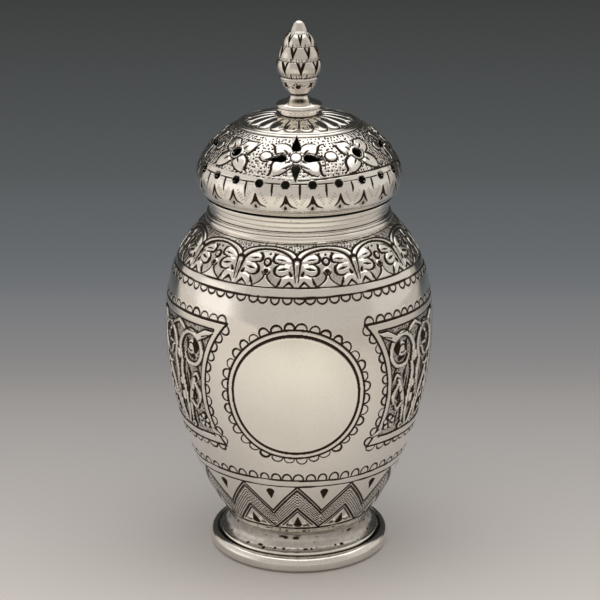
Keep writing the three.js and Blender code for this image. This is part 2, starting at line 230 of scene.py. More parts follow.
def at_least(field, where, value):
    """Lifts part of a field to a value where it lies below that."""
    field[where] = np.maximum(field[where], value)


class Sheet:
    """A turned surface unrolled: rows run along its outline, columns round it from the front.

    level is how far the surface stands out, groove how deep it is cut, and burr how high the
    ridges beside the cuts are, in millimetres. stain is how dark the tarnish lies, from 0 to 1.
    """

    def __init__(self, outline, columns, pitch):
        along = distances(outline)
        self.run = np.linspace(0, along[-1], int(along[-1] / pitch) + 1)
        self.outline = point_at(outline, along, self.run)
        self.radius, self.height = self.outline.T
        self.columns = columns
        self.azimuth = np.arange(columns) * 360 / columns
        fields = np.zeros((4, len(self.run), columns), np.float32)
        self.level, self.groove, self.stain, self.burr = fields

    def run_at(self, height):
        return np.interp(height, self.height, self.run)

    def radius_at(self, height):
        return np.interp(height, self.height, self.radius)

    def window(self, azimuth, run, least, most):
        """Indices and local x and y, in millimetres, of a box about a place, or None."""
        first, last = np.searchsorted(self.run, [run + least[1], run + most[1]])
        if last <= first:
            return None
        rows = np.arange(first, last)
        per_column = math.radians(360 / self.columns)
        narrowest = max(self.radius[rows].min(), 1e-3) * per_column
        centre = azimuth / 360 * self.columns
        start = math.floor(centre + least[0] / narrowest)
        end = math.ceil(centre + most[0] / narrowest)
        columns = np.arange(start, min(end, start + self.columns - 1) + 1)
        x = (columns[None, :] - centre) * (per_column * self.radius[rows])[:, None]
        y = np.broadcast_to((self.run[rows] - run)[:, None], x.shape)
        return (rows[:, None], columns[None, :] % self.columns), x, y

    def wipe(self, where, keep):
        for field in (self.groove, self.burr, self.stain):
            field[where] *= keep


INK = 1.26
BURR = 0.03
CUT_EDGE = 0.07


class Pen:
    """Draws on a sheet about one place. Points are (x, y) in millimetres from there, or
    come from at(), which takes degrees round and the height above the table."""

    def __init__(self, sheet, azimuth, height, mirror=False):
        self.sheet, self.azimuth = sheet, azimuth
        self.run = float(sheet.run_at(height))
        self.turned = np.array([-1 if mirror else 1, 1])

    def at(self, points):
        p = np.atleast_2d(np.array(points, float))
        x = np.radians(p[:, 0]) * self.sheet.radius_at(p[:, 1])
        return np.stack([x, self.sheet.run_at(p[:, 1]) - self.run], 1)

    def window(self, points, reach):
        least, most = np.min(points, 0) - reach, np.max(points, 0) + reach
        return self.sheet.window(self.azimuth, self.run, least, most)

    def stretches(self, points, widths, margin):
        """Each short stretch of a line: where it lies, its half-width, and distances from it."""
        p = np.atleast_2d(np.array(points, float)) * self.turned
        half = spread(widths, len(p))
        for i in range(max(len(p) - 1, 1)):
            j = min(i + 1, len(p) - 1)
            widest = max(half[i], half[j])
            found = self.window([p[i], p[j]], widest + margin)
            if found is not None:
                where, x, y = found
                yield where, widest, capsule(x, y, p[i], p[j], half[i], half[j])

    def lift(self, where, within, target):
        level = self.sheet.level[where]
        self.sheet.level[where] = np.where(within, np.maximum(level, target), level)

    def cut(self, points, width=0.3, depth=0.1, stain=0.95, soft=CUT_EDGE, burr=BURR):
        """A groove along a line, with a low ridge beside it. width is one value or several."""
        sheet = self.sheet
        for where, half, away in self.stretches(points, INK * np.array(width), soft + 0.3):
            at_least(sheet.groove, where, depth * ramp(-away, -soft, max(half, 0.05)))
            at_least(sheet.stain, where, stain * ramp(-away, -soft, 0.35 * soft))
            if burr:
                at_least(sheet.burr, where, burr * hump(away, 0.12, 0.11))

    def dot(self, x, y, radius, depth=0.12, stain=0.95):
        self.cut([(x, y)], 2 * radius, depth, stain)

    def rim(self, place, radius):
        """The dark, smooth edge of a round hole."""
        self.cut(ring(*place, radius), 0.12, 0.01, 1.0, 0.04, burr=0)

    def raised(self, points, width, rise, ground=0.0, edge=0.4, line=0.0):
        """A rounded ribbon, bead or leaf along a line, which may have a thin dark line round it."""
        for where, _, away in self.stretches(points, width, 0.1):
            self.lift(where, away < 0, ground + rise * swell(-away / edge))
            self.sheet.wipe(where, 1 - ramp(-away, 0.0, 0.15))
        if not line:
            return
        p = np.atleast_2d(np.array(points, float))
        half = spread(width, len(p))
        if len(p) == 1:
            self.cut(ring(*p[0], half[0]), line)
            return
        side = sideways(p) * half[:, None]
        self.cut(p + side, line)
        self.cut(p - side, line)

    def filled(self, points, rise, ground, edge):
        """A closed shape that is smooth, and rises by rise within its edge."""
        p = np.atleast_2d(np.array(points, float)) * self.turned
        found = self.window(p, 0.1)
        if found is None:
            return
        where, x, y = found
        away = np.full(x.shape, np.inf)
        for a, b in zip(p, np.roll(p, -1, 0)):
            away = np.minimum(away, capsule(x, y, a, b, 0, 0))
        within = inside_line(p, x, y)
        self.lift(where, within, ground + rise * swell(away / edge))
        self.sheet.wipe(where, 1 - within * ramp(away, 0.0, 0.12))


def swell(depth):
    """Height of a round edge: 0 at its foot, 1 from a depth of 1 on."""
    depth = np.clip(depth, 0, 1)
    return np.sqrt(depth * (2 - depth))


def capsule(x, y, a, b, ha, hb):
    """Distance to a line from a to b that is as wide as ha and hb, negative inside it."""
    dx, dy = b[0] - a[0], b[1] - a[1]
    length2 = dx * dx + dy * dy
    if length2 < 1e-12:
        return np.hypot(x - a[0], y - a[1]) - ha
    t = np.clip(((x - a[0]) * dx + (y - a[1]) * dy) / length2, 0, 1)
    return np.hypot(x - a[0] - t * dx, y - a[1] - t * dy) - ha - t * (hb - ha)


def inside_line(line, x, y):
    within = np.zeros(x.shape, bool)
    for (ax, ay), (bx, by) in zip(line, np.roll(line, -1, axis=0)):
        if ay != by:
            within ^= ((y < ay) != (y < by)) & (x < (bx - ax) * (y - ay) / (by - ay) + ax)
    return within


def jitter(size):
    return float(rng.normal(0, size))


def blurred(field, reach_rows, reach_columns):
    """A field smoothed by two passes of a box, round and round the columns."""
    for axis, n, mode in 2 * ((1, reach_columns, "wrap"), (0, reach_rows, "edge")):
        pad = ((0, 0), (n + 1, n)) if axis else ((n + 1, n), (0, 0))
        total = np.moveaxis(np.cumsum(np.pad(field, pad, mode), axis, dtype=np.float64), axis, 0)
        field = np.moveaxis((total[2 * n + 1 :] - total[: -2 * n - 1]) / (2 * n + 1), 0, axis)
    return field


def band_line(sheet, height, width=0.35, depth=0.1, wobble=0.08, stain=0.95):
    """A line round the whole pot, a little uneven as if cut by hand."""
    a = np.radians(sheet.azimuth)
    run = sheet.run_at(height) + wobble * sum(
        rng.normal(0, 0.45) * np.sin(k * a + rng.uniform(0, 6.28)) for k in range(1, 7)
    )
    half = width / 2 * (1 + 0.18 * np.sin(9 * a + 1) + 0.14 * np.sin(23 * a))
    rows = np.nonzero(np.abs(sheet.run - sheet.run_at(height)) < 6 * wobble + width + 0.3)[0]
    away = np.abs(sheet.run[rows][:, None] - run[None, :]) - half[None, :]
    at_least(sheet.groove, rows, depth * ramp(-away, -CUT_EDGE, width / 2))
    at_least(sheet.stain, rows, stain * ramp(-away, -CUT_EDGE, 0.03))


def mat_ground(sheet, within, cell, radius, depth=0.1, stain=0.9):
    """Small punched dots over the part of the sheet where within is true."""
    last = len(sheet.run) - 1
    for run in np.arange(sheet.run[0], sheet.run[-1], cell):
        row = min(int(np.searchsorted(sheet.run, run)), last)
        count = max(int(2 * math.pi * sheet.radius[row] / cell), 3)
        for i in range(count):
            azimuth = (i + rng.uniform(0.2, 0.8)) * 360 / count
            place = run + rng.uniform(-0.3, 0.3) * cell
            at_row = int(np.clip(np.searchsorted(sheet.run, place), 0, last))
            if not within[at_row, int(azimuth / 360 * sheet.columns) % sheet.columns]:
                continue
            size = radius * rng.uniform(0.65, 1.2)
            reach = np.full(2, size + 0.12)
            found = sheet.window(azimuth, place, -reach, reach)
            if found is None:
                continue
            where, x, y = found
            away = np.hypot(x, y) - size
            at_least(sheet.groove, where, depth * ramp(-away, -CUT_EDGE, size))
            dark = stain * rng.uniform(0.75, 1.05) * ramp(-away, -CUT_EDGE, 0.04)
            at_least(sheet.stain, where, np.minimum(dark, 1))


def scallops(pen, line, pitch, depth, side, width=0.27):
    """A fringe of small round loops along one side of a line."""
    along = distances(line)
    count = max(int(round(along[-1] / pitch)), 1)
    each = along[-1] / count
    for i in range(count):
        middle = (i + 0.5) * each + jitter(0.05 * each)
        t = point_at(line, along, middle + 0.2) - point_at(line, along, middle - 0.2)
        t /= np.linalg.norm(t) + 1e-9
        n = np.array([-t[1], t[0]]) * side
        half = each * (0.43 + jitter(0.02))
        tall = depth * (1 + jitter(0.07))
        lean = jitter(0.06)
        a = np.linspace(0, math.pi, 9)[:, None]
        loop = t * (half * np.cos(a) + lean * np.sin(a)) + n * tall * np.sin(a) ** 0.8
        wide = width * float(np.clip(0.95 + jitter(0.25), 0.65, 1.5))
        widths = [0.75 * wide, wide, 1.15 * wide, wide, 0.75 * wide]
        pen.cut(point_at(line, along, middle) + loop, widths, 0.09)


# The shoulder's arches. Arches are (half width in degrees, spring, top), and points in this
# part are degrees round and millimetres above the table unless something else is said

ARCHES = 12
SHOULDER_TURN = -1.0
SHOULDER_LINE = 60.05
SHOULDER_MIDDLE = 62.7
OUTER_ARCH = (15, 64.95, 66.45)
INNER_ARCH = (13.2, 64.0, 66.0)
TICKS = 46
TENT = [(-6, 60.15), (-2.6, 60.9), (-1, 61.5), (0, 62.3), (1, 61.5), (2.6, 60.9), (6, 60.15)]
POST = [(-1.3, 64), (0, 64.25), (1.3, 64), (0.5, 61.4), (0.3, 60.2), (-0.3, 60.2), (-0.5, 61.4)]

# A leaf beside a cusp: lobes, then strokes with their widths and any other depth and stain.
# Degrees are from the cusp towards the middle of the arch
LEAF_LOBES = (
    [(2.4, 64.2), (3.4, 64.7), (5.4, 65.15), (8, 65.4), (10, 65.35), (11.3, 65), (11.6, 64.6),
     (10.8, 64.25), (7.5, 64.1), (4.4, 63.95), (2.4, 64.2)],
    [(3, 63.9), (6, 63.95), (8.4, 63.75), (10.1, 63.2), (10.3, 62.65), (9.2, 62.25), (7, 62.15),
     (4.6, 62.4), (3, 63), (3, 63.9)],
    [(1.4, 61.7), (2.6, 62), (5.6, 61.95), (7.3, 61.4), (7.6, 60.8), (6.6, 60.35), (4.6, 60.7),
     (3.2, 61.1), (1.9, 60.7), (1.4, 61.7)],
)
LEAF_STROKES = (
    ([(10, 65.45), (11.6, 65.1), (12.1, 64.6), (11.3, 64.15), (9, 63.98), (6.2, 63.85)],
     [0.16, 0.36, 0.44, 0.36, 0.26, 0.14]),
    ([(10, 64.55), (8, 64.5), (5.8, 64.4)], [0.1, 0.26, 0.12]),
    ([(9, 63.8), (10.6, 63.35), (11, 62.8), (10.5, 62.35), (9.2, 62.05), (7, 61.98), (5, 62.3)],
     [0.16, 0.4, 0.5, 0.44, 0.32, 0.24, 0.12], 0.15),
    ([(8.8, 62.9), (6.6, 63.05), (4.6, 63.15)], [0.2, 0.42, 0.1]),
    ([(2.7, 62.2), (3.5, 62.7)], [0.5, 0.26], 0.16, 1.0),
    ([(7.5, 61.6), (8.2, 60.9), (9.3, 60.2)], [0.2, 0.44, 0.2]),
    ([(3.6, 61), (6.0, 60.25)], [0.4, 0.2]),
    ([(3.6, 61), (1.5, 60.25)], [0.4, 0.2]),
    ([(14.5, 62.3), (13.8, 61.5), (12.2, 60.85), (10.2, 60.4), (8.8, 60.15)],
     [0.24, 0.3, 0.24, 0.2, 0.16]),
)


def shoulder_band(sheet):
    height = sheet.height[:, None]
    offset = np.abs((sheet.azimuth - SHOULDER_TURN) % 30 - 15)[None, :]
    outer, inner = (
        spring + (top - spring) * np.sqrt(np.clip(1 - (offset / half) ** 2, 0, 1))
        for half, spring, top in (OUTER_ARCH, INNER_ARCH)
    )
    matted = (height > outer + 0.22) & (height < BODY_TOP + 1)
    at_least(sheet.stain, ..., 0.4 * blurred(matted.astype(np.float32), 1, 1))
    mat_ground(sheet, matted, 0.5, 0.17)
    field = ((height > 60.3) & (height < inner - 0.1) & (offset < 13.6)).astype(np.float32)
    sheet.level -= (0.12 * blurred(field, 2, 2)).astype(np.float32)
    at_least(sheet.stain, ..., 0.3 * blurred(field, 1, 1))
    share = np.clip((height - inner) / (outer - inner), 0, 1)
    ribbon = np.maximum(np.sin(math.pi * share), 0) ** 0.7 * (height > inner) * (height < outer)
    sheet.level += (0.13 * ribbon).astype(np.float32)
    band_line(sheet, SHOULDER_LINE, 0.3, wobble=0.08)
    for i in range(ARCHES):
        shoulder_arch(Pen(sheet, SHOULDER_TURN + 15 + 30 * i, SHOULDER_MIDDLE))
        shoulder_cusp(Pen(sheet, SHOULDER_TURN + 30 * i, SHOULDER_MIDDLE))


def shoulder_arch(pen):
    a = np.radians(np.linspace(178, 2, 24))
    for half, spring, top in (OUTER_ARCH, INNER_ARCH):
        lift = top - spring + jitter(0.03)
        pen.cut(pen.at(np.stack([half * np.cos(a), spring + lift * np.sin(a)], 1)), 0.3, 0.13)
    for _ in range(TICKS):
        turn, foot = rng.uniform(-9, 9), rng.uniform(60.5, 63.2)
        tick = [(turn, foot), (turn + jitter(0.15), foot + rng.uniform(0.25, 0.6))]
        pen.cut(pen.at(tick), 0.1, 0.03, 0.5, burr=0)
    pen.filled(pen.at(TENT), 0.12, -0.06, 0.4)
    shift = jitter(0.4)
    for side in (-1, 1):
        rise = jitter(0.06)

        def by(points):
            return pen.at([(side * (15 - d) + shift, h + rise) for d, h in smooth(points)])

        for lobe in LEAF_LOBES:
            pen.filled(by(lobe), 0.18, -0.12, 0.55)
        for points, widths, *depth_and_stain in LEAF_STROKES:
            pen.cut(by(points), widths, *(depth_and_stain or [0.14]))
    if rng.random() < 0.7:
        pen.cut(pen.at([(shift, 61.6), (shift, 60.95)]), [0.1, 0.9], 0.16, 1.0)
    eye = pen.at([(shift, 64.15 + jitter(0.12))])[0]
    pen.raised([eye], 1.3, 0.16, -0.06, 0.4)
    pen.cut(ring(*eye, 0.62, squash=1.12), 0.34, 0.16)
    pen.dot(eye[0], eye[1] - 0.05, 0.16, 0.05, 0.5)
    spot = pen.at([(shift + jitter(0.3), 62.65)])[0]
    pen.raised([spot], 1.5, 0.1, -0.08, 0.3)
    pen.dot(*spot, 0.38, 0.18, 1.0)
    pen.cut(ring(*spot, 0.72, 190, 350), 0.2)
    for place in (-3.2, 0.3, 3.4):
        pen.dot(*pen.at([(place + jitter(0.4), 65.35 + jitter(0.1))])[0], 0.17)


def shoulder_cusp(pen):
    pen.filled(pen.at(POST), 0.16, -0.05, 0.3)
    pen.cut(pen.at([(-1.6, 64.5), (0, 64.62), (1.6, 64.5)]), [0.44, 0.6, 0.44], 0.15, 1.0)
    for side in (-1, 1):
        leg = [(side * 1.9, 64.35), (side * 1.3, 62.9), (side * 0.6, 60.9)]
        pen.cut(pen.at(leg), [0.38, 0.28, 0.14], 0.14)
    pen.cut(pen.at([(0.1, 63.6), (0, 61.8)]), [0.1, 0.18, 0.08], 0.06)


# The belly's cartouches and sunk panels, in millimetres. A reach is a distance from the
# middle of the nearest cartouche

LOOPS, LOOP_LINE, LOOP_FOOT = 69, 58.5, 57.3
CARTOUCHES = 3
CARTOUCHE_TURN = -1.5
CARTOUCHE_HEIGHT = 39.45
CARTOUCHE_OUTER = 13.3
CARTOUCHE_INNER = 12.2
PANEL_LOW, PANEL_HIGH, PANEL_REACH = 27.3, 52.6, 18.7
PANEL_INNER_LOW, PANEL_INNER_HIGH, PANEL_INNER_REACH = 28.85, 50.9, 20.0
PANEL_SINK = 0.32

# Each end of a panel: height, reach, width of the line, and its scallops
PANEL_ENDS = (
    (PANEL_HIGH, PANEL_REACH, 0.4, (2.3, 1.3, 1)),
    (PANEL_LOW, PANEL_REACH, 0.36, (2.2, 1.15, -1)),
    (PANEL_INNER_HIGH, PANEL_INNER_REACH, 0.3, None),
    (PANEL_INNER_LOW, PANEL_INNER_REACH, 0.3, None),
)

# Half of the leaves in a panel, with x from the panel's axis outwards: ribbons as points,
# widths, and any other rise and edge, then slots as points, widths and any other stain
ROSETTE = np.array([5.9, -8.1])
PETAL_TURNS = np.radians(90 + 72 * np.arange(5))
BERRY = np.array([2.0, -9.9])
RIBBONS = (
    ([(0.5, -10.0), (1.5, -6.5), (1.3, -2.5), (0.9, 1.0), (1.5, 3.8)], [0.7, 1.0, 1.1, 1.2, 1.0]),
    ([(1.4, 3.6), (0.8, 6.4), (2.2, 9.0), (4.6, 9.8), (7.0, 8.4), (7.5, 5.8), (6.0, 3.7),
      (3.6, 3.6), (2.6, 5.2)], [0.9, 1.1, 1.2, 1.2, 1.1, 1.0, 1.0, 0.9, 0.6]),
    ([(4.4, 6.7), (4.6, 6.8)], [2.9, 2.9], 0.36, 1.0),
    ([(6.4, 9.2), (8.4, 10.3), (10.2, 10.9)], [1.5, 1.6, 0.5]),
    ([(2.2, -9.0), (2.6, -6.0), (3.4, -3.0), (4.6, -0.4), (5.3, 1.8)], [0.5, 0.9, 1.2, 1.2, 0.5]),
    ([(5.2, -0.6), (6.1, -2.4), (5.8, -4.2)], [0.8, 1.3, 0.6]),
    ([(4.8, 1.2), (5.9, 1.7), (6.5, 0.6)], [0.7, 0.9, 0.4]),
    ([(3.0, -4.4), (4.4, -5.6), (5.2, -4.6)], [0.7, 0.9, 0.5]),
    *(([ROSETTE + (1.05 * math.cos(a), math.sin(a))], 1.25, 0.34) for a in PETAL_TURNS),
    ([ROSETTE], 0.9, 0.42, 0.4),
    ([BERRY], 1.7, 0.32),
    ([(8.0, -9.6), (9.6, -10.2)], [1.3, 0.5], 0.3),
    ([(0.2, 10.9), (1.8, 10.2), (2.6, 9.4)], [0.9, 0.9, 0.5], 0.36),
)
SLOTS = (
    ([(3.0, 8.2), (3.5, 7.2), (3.1, 6.1)], [0.4, 1.15, 0.4]),
    ([(5.2, 8.4), (6.0, 7.3), (5.7, 5.9)], [0.4, 1.2, 0.4]),
    ([(3.9, 5.1), (5.1, 4.9)], [0.5, 0.8]),
    ([(7.6, 9.6), (9.2, 10.2)], [0.2, 0.34, 0.1]),
    ([(1.0, 8.4), (2.8, 9.9), (5.4, 9.9)], [0.12, 0.2, 0.12], 0.8),
    ([(2.3, 0.8), (2.5, -2.4), (1.9, -5.6)], [0.2, 0.62, 0.2]),
    ([(0.9, -1.0), (1.3, -4.0), (0.8, -7.2)], [0.1, 0.2, 0.1], 0.85),
    ([(4.0, -1.9), (4.6, -3.2), (4.1, -4.2)], [0.2, 0.6, 0.2]),
    ([(3.7, -6.6), (3.8, -8.2), (3.6, -9.4)], [0.2, 0.5, 0.2]),
    ([(4.8, -0.8), (5.7, -2.2), (5.6, -3.4)], [0.1, 0.2, 0.1], 0.85),
    ([(2.7, 3.0), (3.5, 1.3), (3.1, -0.6)], [0.2, 0.7, 0.2]),
    ([(5.4, 3.2), (6.1, 2.8), (6.4, 2.1)], [0.2, 0.45, 0.2]),
)


def belly_band(sheet):
    offset = (sheet.azimuth - CARTOUCHE_TURN + 60) % 120 - 60
    x = np.radians(offset)[None, :] * sheet.radius[:, None]
    away = np.hypot(x, (sheet.run - float(sheet.run_at(CARTOUCHE_HEIGHT)))[:, None])
    level = (sheet.height > PANEL_INNER_LOW) & (sheet.height < PANEL_INNER_HIGH)
    panel = level[:, None] & (away > PANEL_INNER_REACH)
    ground = panel.astype(np.float32)
    sheet.level -= (PANEL_SINK * blurred(ground, 2, 2)).astype(np.float32)
    mat_ground(sheet, panel, 0.66, 0.18, 0.08, 0.9)
    at_least(sheet.stain, ..., 0.35 * blurred(ground, 1, 1))
    band_line(sheet, LOOP_LINE, 0.42, wobble=0.12)
    for i in range(LOOPS):
        u_loop(Pen(sheet, i * 360 / LOOPS + jitter(0.3), LOOP_LINE - 0.2))
    for i in range(CARTOUCHES):
        middle = CARTOUCHE_TURN + 120 * i
        cartouche(Pen(sheet, middle, CARTOUCHE_HEIGHT))
        for mirror in (False, True):
            panel_edge(Pen(sheet, middle, CARTOUCHE_HEIGHT, mirror))
        axis = middle + 60
        for end in PANEL_ENDS:
            panel_end(sheet, axis, *end)
        for mirror in (False, True):
            foliage(Pen(sheet, axis, CARTOUCHE_HEIGHT, mirror))
        panel_axis(Pen(sheet, axis, CARTOUCHE_HEIGHT))


def u_loop(pen):
    half = 2.0 + jitter(0.12)
    foot = LOOP_FOOT + jitter(0.07)
    points = [(-half, LOOP_LINE), (-half, 57.95), (-0.7 * half, foot + 0.25), (0, foot)]
    points += [(-x, y) for x, y in reversed(points[:-1])]
    pen.cut(pen.at(smooth(points, 3)), [0.2, 0.26, 0.3, 0.26, 0.2], 0.09)


def cartouche(pen):
    """Two uneven circles with a ring of scallops round them."""
    rng.normal(size=4)  # keeps the order of the draws that follow
    a = np.radians(np.linspace(0, 360, 121))
    uneven = 1 + 0.004 * np.sin(3 * a + math.radians(40)) + 0.003 * np.sin(5 * a)
    circle = np.stack([uneven * np.cos(a), uneven * np.sin(a)], 1)
    pen.cut(CARTOUCHE_INNER * circle, [0.42, 0.5, 0.38, 0.46, 0.42], 0.14)
    pen.cut(CARTOUCHE_OUTER * circle, 0.34, 0.1)
    scallops(pen, CARTOUCHE_OUTER * circle[::-1], 2.3, 1.25, 1)


def panel_edge(pen):
    """A panel's side: two arcs round the middle of the cartouche, on its right."""
    for reach, low, high, width, depth in (
        (PANEL_REACH, PANEL_LOW, PANEL_HIGH, 0.36, 0.11),
        (PANEL_INNER_REACH, PANEL_INNER_LOW, PANEL_INNER_HIGH, 0.3, 0.1),
    ):
        start, end = (math.asin(pen.at([(0, height)])[0][1] / reach) for height in (low, high))
        a = np.linspace(start, end, 28)
        line = np.stack([reach * np.cos(a), reach * np.sin(a)], 1)
        pen.cut(line, width, depth)
        if reach == PANEL_REACH:
            outer = line
    scallops(pen, outer, 2.4, 1.2, 1)


def panel_end(sheet, axis, height, reach, width, fringe):
    y = float(sheet.run_at(height) - sheet.run_at(CARTOUCHE_HEIGHT))
    edge = 60 - math.degrees(math.sqrt(reach**2 - y**2) / sheet.radius_at(height))
    pen = Pen(sheet, axis, height)
    line = pen.at([(d, height) for d in np.linspace(-edge, edge, 30)])
    line[:, 1] += 0.07 * np.sin(np.linspace(0, 5, 30) + axis)
    pen.cut(line, width)
    if fringe:
        scallops(pen, line, *fringe)


def foliage(pen):
    for points, widths, *rise_and_edge in RIBBONS:
        rise, edge = (*rise_and_edge, *(0.42, 0.5)[len(rise_and_edge) :])
        pen.raised(smooth(points), widths, rise, -PANEL_SINK, edge, 0.2)
    for points, widths, *stain in SLOTS:
        pen.cut(smooth(points, 4), widths, 0.16, *(stain or [1.0]))
    pen.cut(ring(4.6, 6.9, 0.8, 20, 300), 0.22)
    for turn, a in enumerate(PETAL_TURNS):
        b = a + math.radians(36)
        pen.dot(*(ROSETTE + (math.cos(b), 0.95 * math.sin(b))), 0.24)
        petal = ROSETTE + (1.05 * math.cos(a), math.sin(a))
        pen.cut(ring(*petal, 0.64, turn * 72, turn * 72 + 180), 0.27)
    pen.cut(ring(*ROSETTE, 0.42), 0.22)
    pen.dot(*ROSETTE, 0.12)
    pen.cut(ring(*BERRY, 0.82), 0.24)
    pen.dot(*BERRY, 0.24)


def panel_axis(pen):
    pen.raised([(0, 4.6), (0, 2.4)], [1.5, 0.8], 0.4, -PANEL_SINK, 0.5)
    pen.raised([(0, -1.0), (0, -5.0)], [0.7, 1.0], 0.34, -PANEL_SINK, 0.4)
    for y, size in ((3.2, 0.5), (0.6, 0.42), (-2.6, 0.36), (-5.8, 0.4)):
        pen.cut([(0, y + 0.45), (0, y - 0.45)], [size, 2 * size], 0.16, 1.0)
    pen.dot(0, 7.2, 0.32, 0.16, 1.0)


# The lower band with its scallops and zigzag

LOWER_SCALLOPS, SCALLOP_LINE = 60, 21.1
ZIGZAGS, ZIGZAG_TURN = 12, -1.0
ZIGZAG_TOP, ZIGZAG_FOOT = 19.63, 8.6
ZIGZAG_ROWS = 7


def lower_band(sheet):
    band_line(sheet, SCALLOP_LINE, 0.42, wobble=0.08)
    band_line(sheet, ZIGZAG_TOP, 0.34, wobble=0.08)
    band_line(sheet, ZIGZAG_FOOT, 0.5, wobble=0.07)
    for i in range(LOWER_SCALLOPS):
        pen = Pen(sheet, i * 6 + jitter(0.25), SCALLOP_LINE + 0.05)
        half = 2.35 + jitter(0.12)
        tall = 1.35 + jitter(0.07)
        a = np.linspace(0, math.pi, 9)
        loop = np.stack([half * np.cos(a), SCALLOP_LINE + 0.1 + tall * np.sin(a) ** 0.85], 1)
        pen.cut(pen.at(loop), [0.2, 0.28, 0.32, 0.28, 0.2], 0.09)
    for i in range(ZIGZAGS):
        azimuth = ZIGZAG_TURN + 30 * i
        for mirror in (False, True):
            zigzag_limb(Pen(sheet, azimuth, 14.0, mirror))
        teardrop(Pen(sheet, azimuth + jitter(0.2), 10.2), 11.75, 9.75)
        teardrop(Pen(sheet, azimuth + 15 + jitter(0.2), 17.5), 16.5, 18.2)


def teardrop(pen, tip, round_end):
    drop = [(0, tip), (0, (tip + 2 * round_end) / 3), (0, round_end)]
    pen.cut(pen.at(drop), [0.12, 0.85, 1.25], 0.26, 1.0)


def zigzag_limb(pen):
    """From a peak of the zigzag down to the valley on its right, filled with fine dashes."""

    def line(top, bottom, bow):
        s = np.linspace(0, 1, 8)
        return np.stack([15 * s + bow * np.sin(math.pi * s), top + (bottom - top) * s], 1)

    upper, lower = line(19.5, 13.3, 0.15), line(14.0, 8.85, -0.6)
    below = upper - (0, 0.75)
    pen.cut(pen.at(upper), 0.3)
    pen.cut(pen.at(below), 0.24, 0.08)
    pen.cut(pen.at(lower), 0.34)
    pen.cut(pen.at(lower[lower[:, 1] > 9.7] - (0, 0.8)), 0.24, 0.08)
    for row in range(ZIGZAG_ROWS):
        share = (row + 0.6) / ZIGZAG_ROWS
        p = smooth(pen.at(below * (1 - share) + lower * share), 4)
        along = distances(p)
        place = rng.uniform(0, 0.3)
        while place < along[-1] - 0.15:
            length = rng.uniform(0.12, 0.3)
            dash = point_at(p, along, [place, min(place + length, along[-1])])
            pen.cut(dash, 0.19, 0.06, 1.0, 0.05, burr=0)
            place += length + rng.uniform(0.34, 0.42)


# The cover's ornament. A flower's points are degrees and millimetres from its middle

FLOWERS, FLOWER_TURN = 8, -2.0
FLOWER_HEIGHT = COVER_BASE + COVER_WIDEST + 6.7
ROW_HOLES, ROW_HOLE_RADIUS = 24, 0.8
HOLE_HEIGHT = COVER_BASE + COVER_WIDEST + 2.45
CROWN_PETALS = 20
MAT_FOOT, MAT_TOP = 79.7, 85.2
DIPPED_LINE = 79.5
TIP_LINE = 76.0

# Each petal hole of a pierced flower: where it starts, its length and its radius
PETAL_HOLES = ((1.35, 3.85, 0.9), (1.7, 4.1, 0.96), (1.4, 3.4, 0.88), (1.35, 4.05, 0.96))

# The right side of each kind of flower: petals, then strokes with their widths
CROSS_FLOWER = (
    (
        [(2.5, 0.9), (5, 1.7), (9, 1.95), (14, 1.9), (16, 1.4), (14.6, 0.6), (12, 0.5), (8, 0.7),
         (5, 0.6)],
        [(2.5, -0.9), (5, -1.4), (9, -2.4), (13.5, -2.8), (15, -2), (15, -1.2), (13.5, -0.7),
         (9, -0.6), (5, -0.7)],
    ),
    (
        ([(4.4, 1.65), (6.1, 1.85), (8.3, 2), (14, 1.95)], [0.16, 0.24, 0.24, 0.14]),
        ([(20.4, 1.85), (17.4, 1.65), (15.8, 1.2), (14.7, 0.65), (12.75, 0.3)],
         [0.14, 0.34, 0.42, 0.36, 0.16]),
        ([(5.6, 0.55), (7.2, 0.85), (8.8, 1.05)], [0.14, 0.32, 0.12]),
        ([(1.1, -0.95), (4.4, -1.35), (8.3, -1.8)], [0.14, 0.22, 0.12]),
        ([(3.3, -1.5), (6.1, -2.15), (9.7, -2.7), (13.3, -2.95)], [0.16, 0.28, 0.26, 0.14]),
        ([(14.2, -0.55), (15.4, -1.25), (15.1, -2), (15.8, -2.7), (16.9, -2.95)],
         [0.2, 0.38, 0.4, 0.34, 0.14]),
        ([(3.6, -0.35), (4.9, -0.65), (6.7, -0.85)], [0.1, 0.24, 0.12]),
        ([(16.6, 0.2), (18.8, -0.5), (18.4, -1.6)], [0.1, 0.2, 0.1]),
    ),
)
ROUND_FLOWER = (
    (
        [(1.6, 1.2), (4, 1.7), (8, 1.8), (12.5, 1.7), (13.6, 1.1), (12.2, 0.5), (9, 0.2),
         (5.4, 0.6)],
        [(1, -1.5), (3, -2), (7, -2.6), (11, -2.7), (12, -2), (11.4, -1.2), (9, -0.6),
         (5.4, -0.5)],
    ),
    (
        ([(0.9, 1.1), (2.8, 1.55), (5, 1.85), (9, 1.85), (14.7, 1.9)],
         [0.16, 0.28, 0.24, 0.2, 0.12]),
        ([(16.4, 1.75), (14.4, 1.3), (13.2, 0.65), (10.8, 0.1), (7, -0.2)],
         [0.12, 0.32, 0.4, 0.34, 0.14]),
        ([(4.4, 0.6), (6, 0.85), (7.3, 1.05)], [0.14, 0.34, 0.14]),
        ([(0.3, -1.25), (1.4, -1.75), (4, -2.3), (8, -2.8), (11.4, -2.9)],
         [0.14, 0.3, 0.28, 0.24, 0.12]),
        ([(5.6, -0.13), (9.5, -0.4), (11.9, -0.95), (12.6, -1.6), (12.6, -2.3), (15, -2.85)],
         [0.12, 0.3, 0.4, 0.42, 0.36, 0.14]),
        ([(3.4, -0.85), (4.8, -1.15), (6.2, -1.5)], [0.12, 0.32, 0.14]),
    ),
)
FLOWER_KINDS = (CROSS_FLOWER, ROUND_FLOWER)


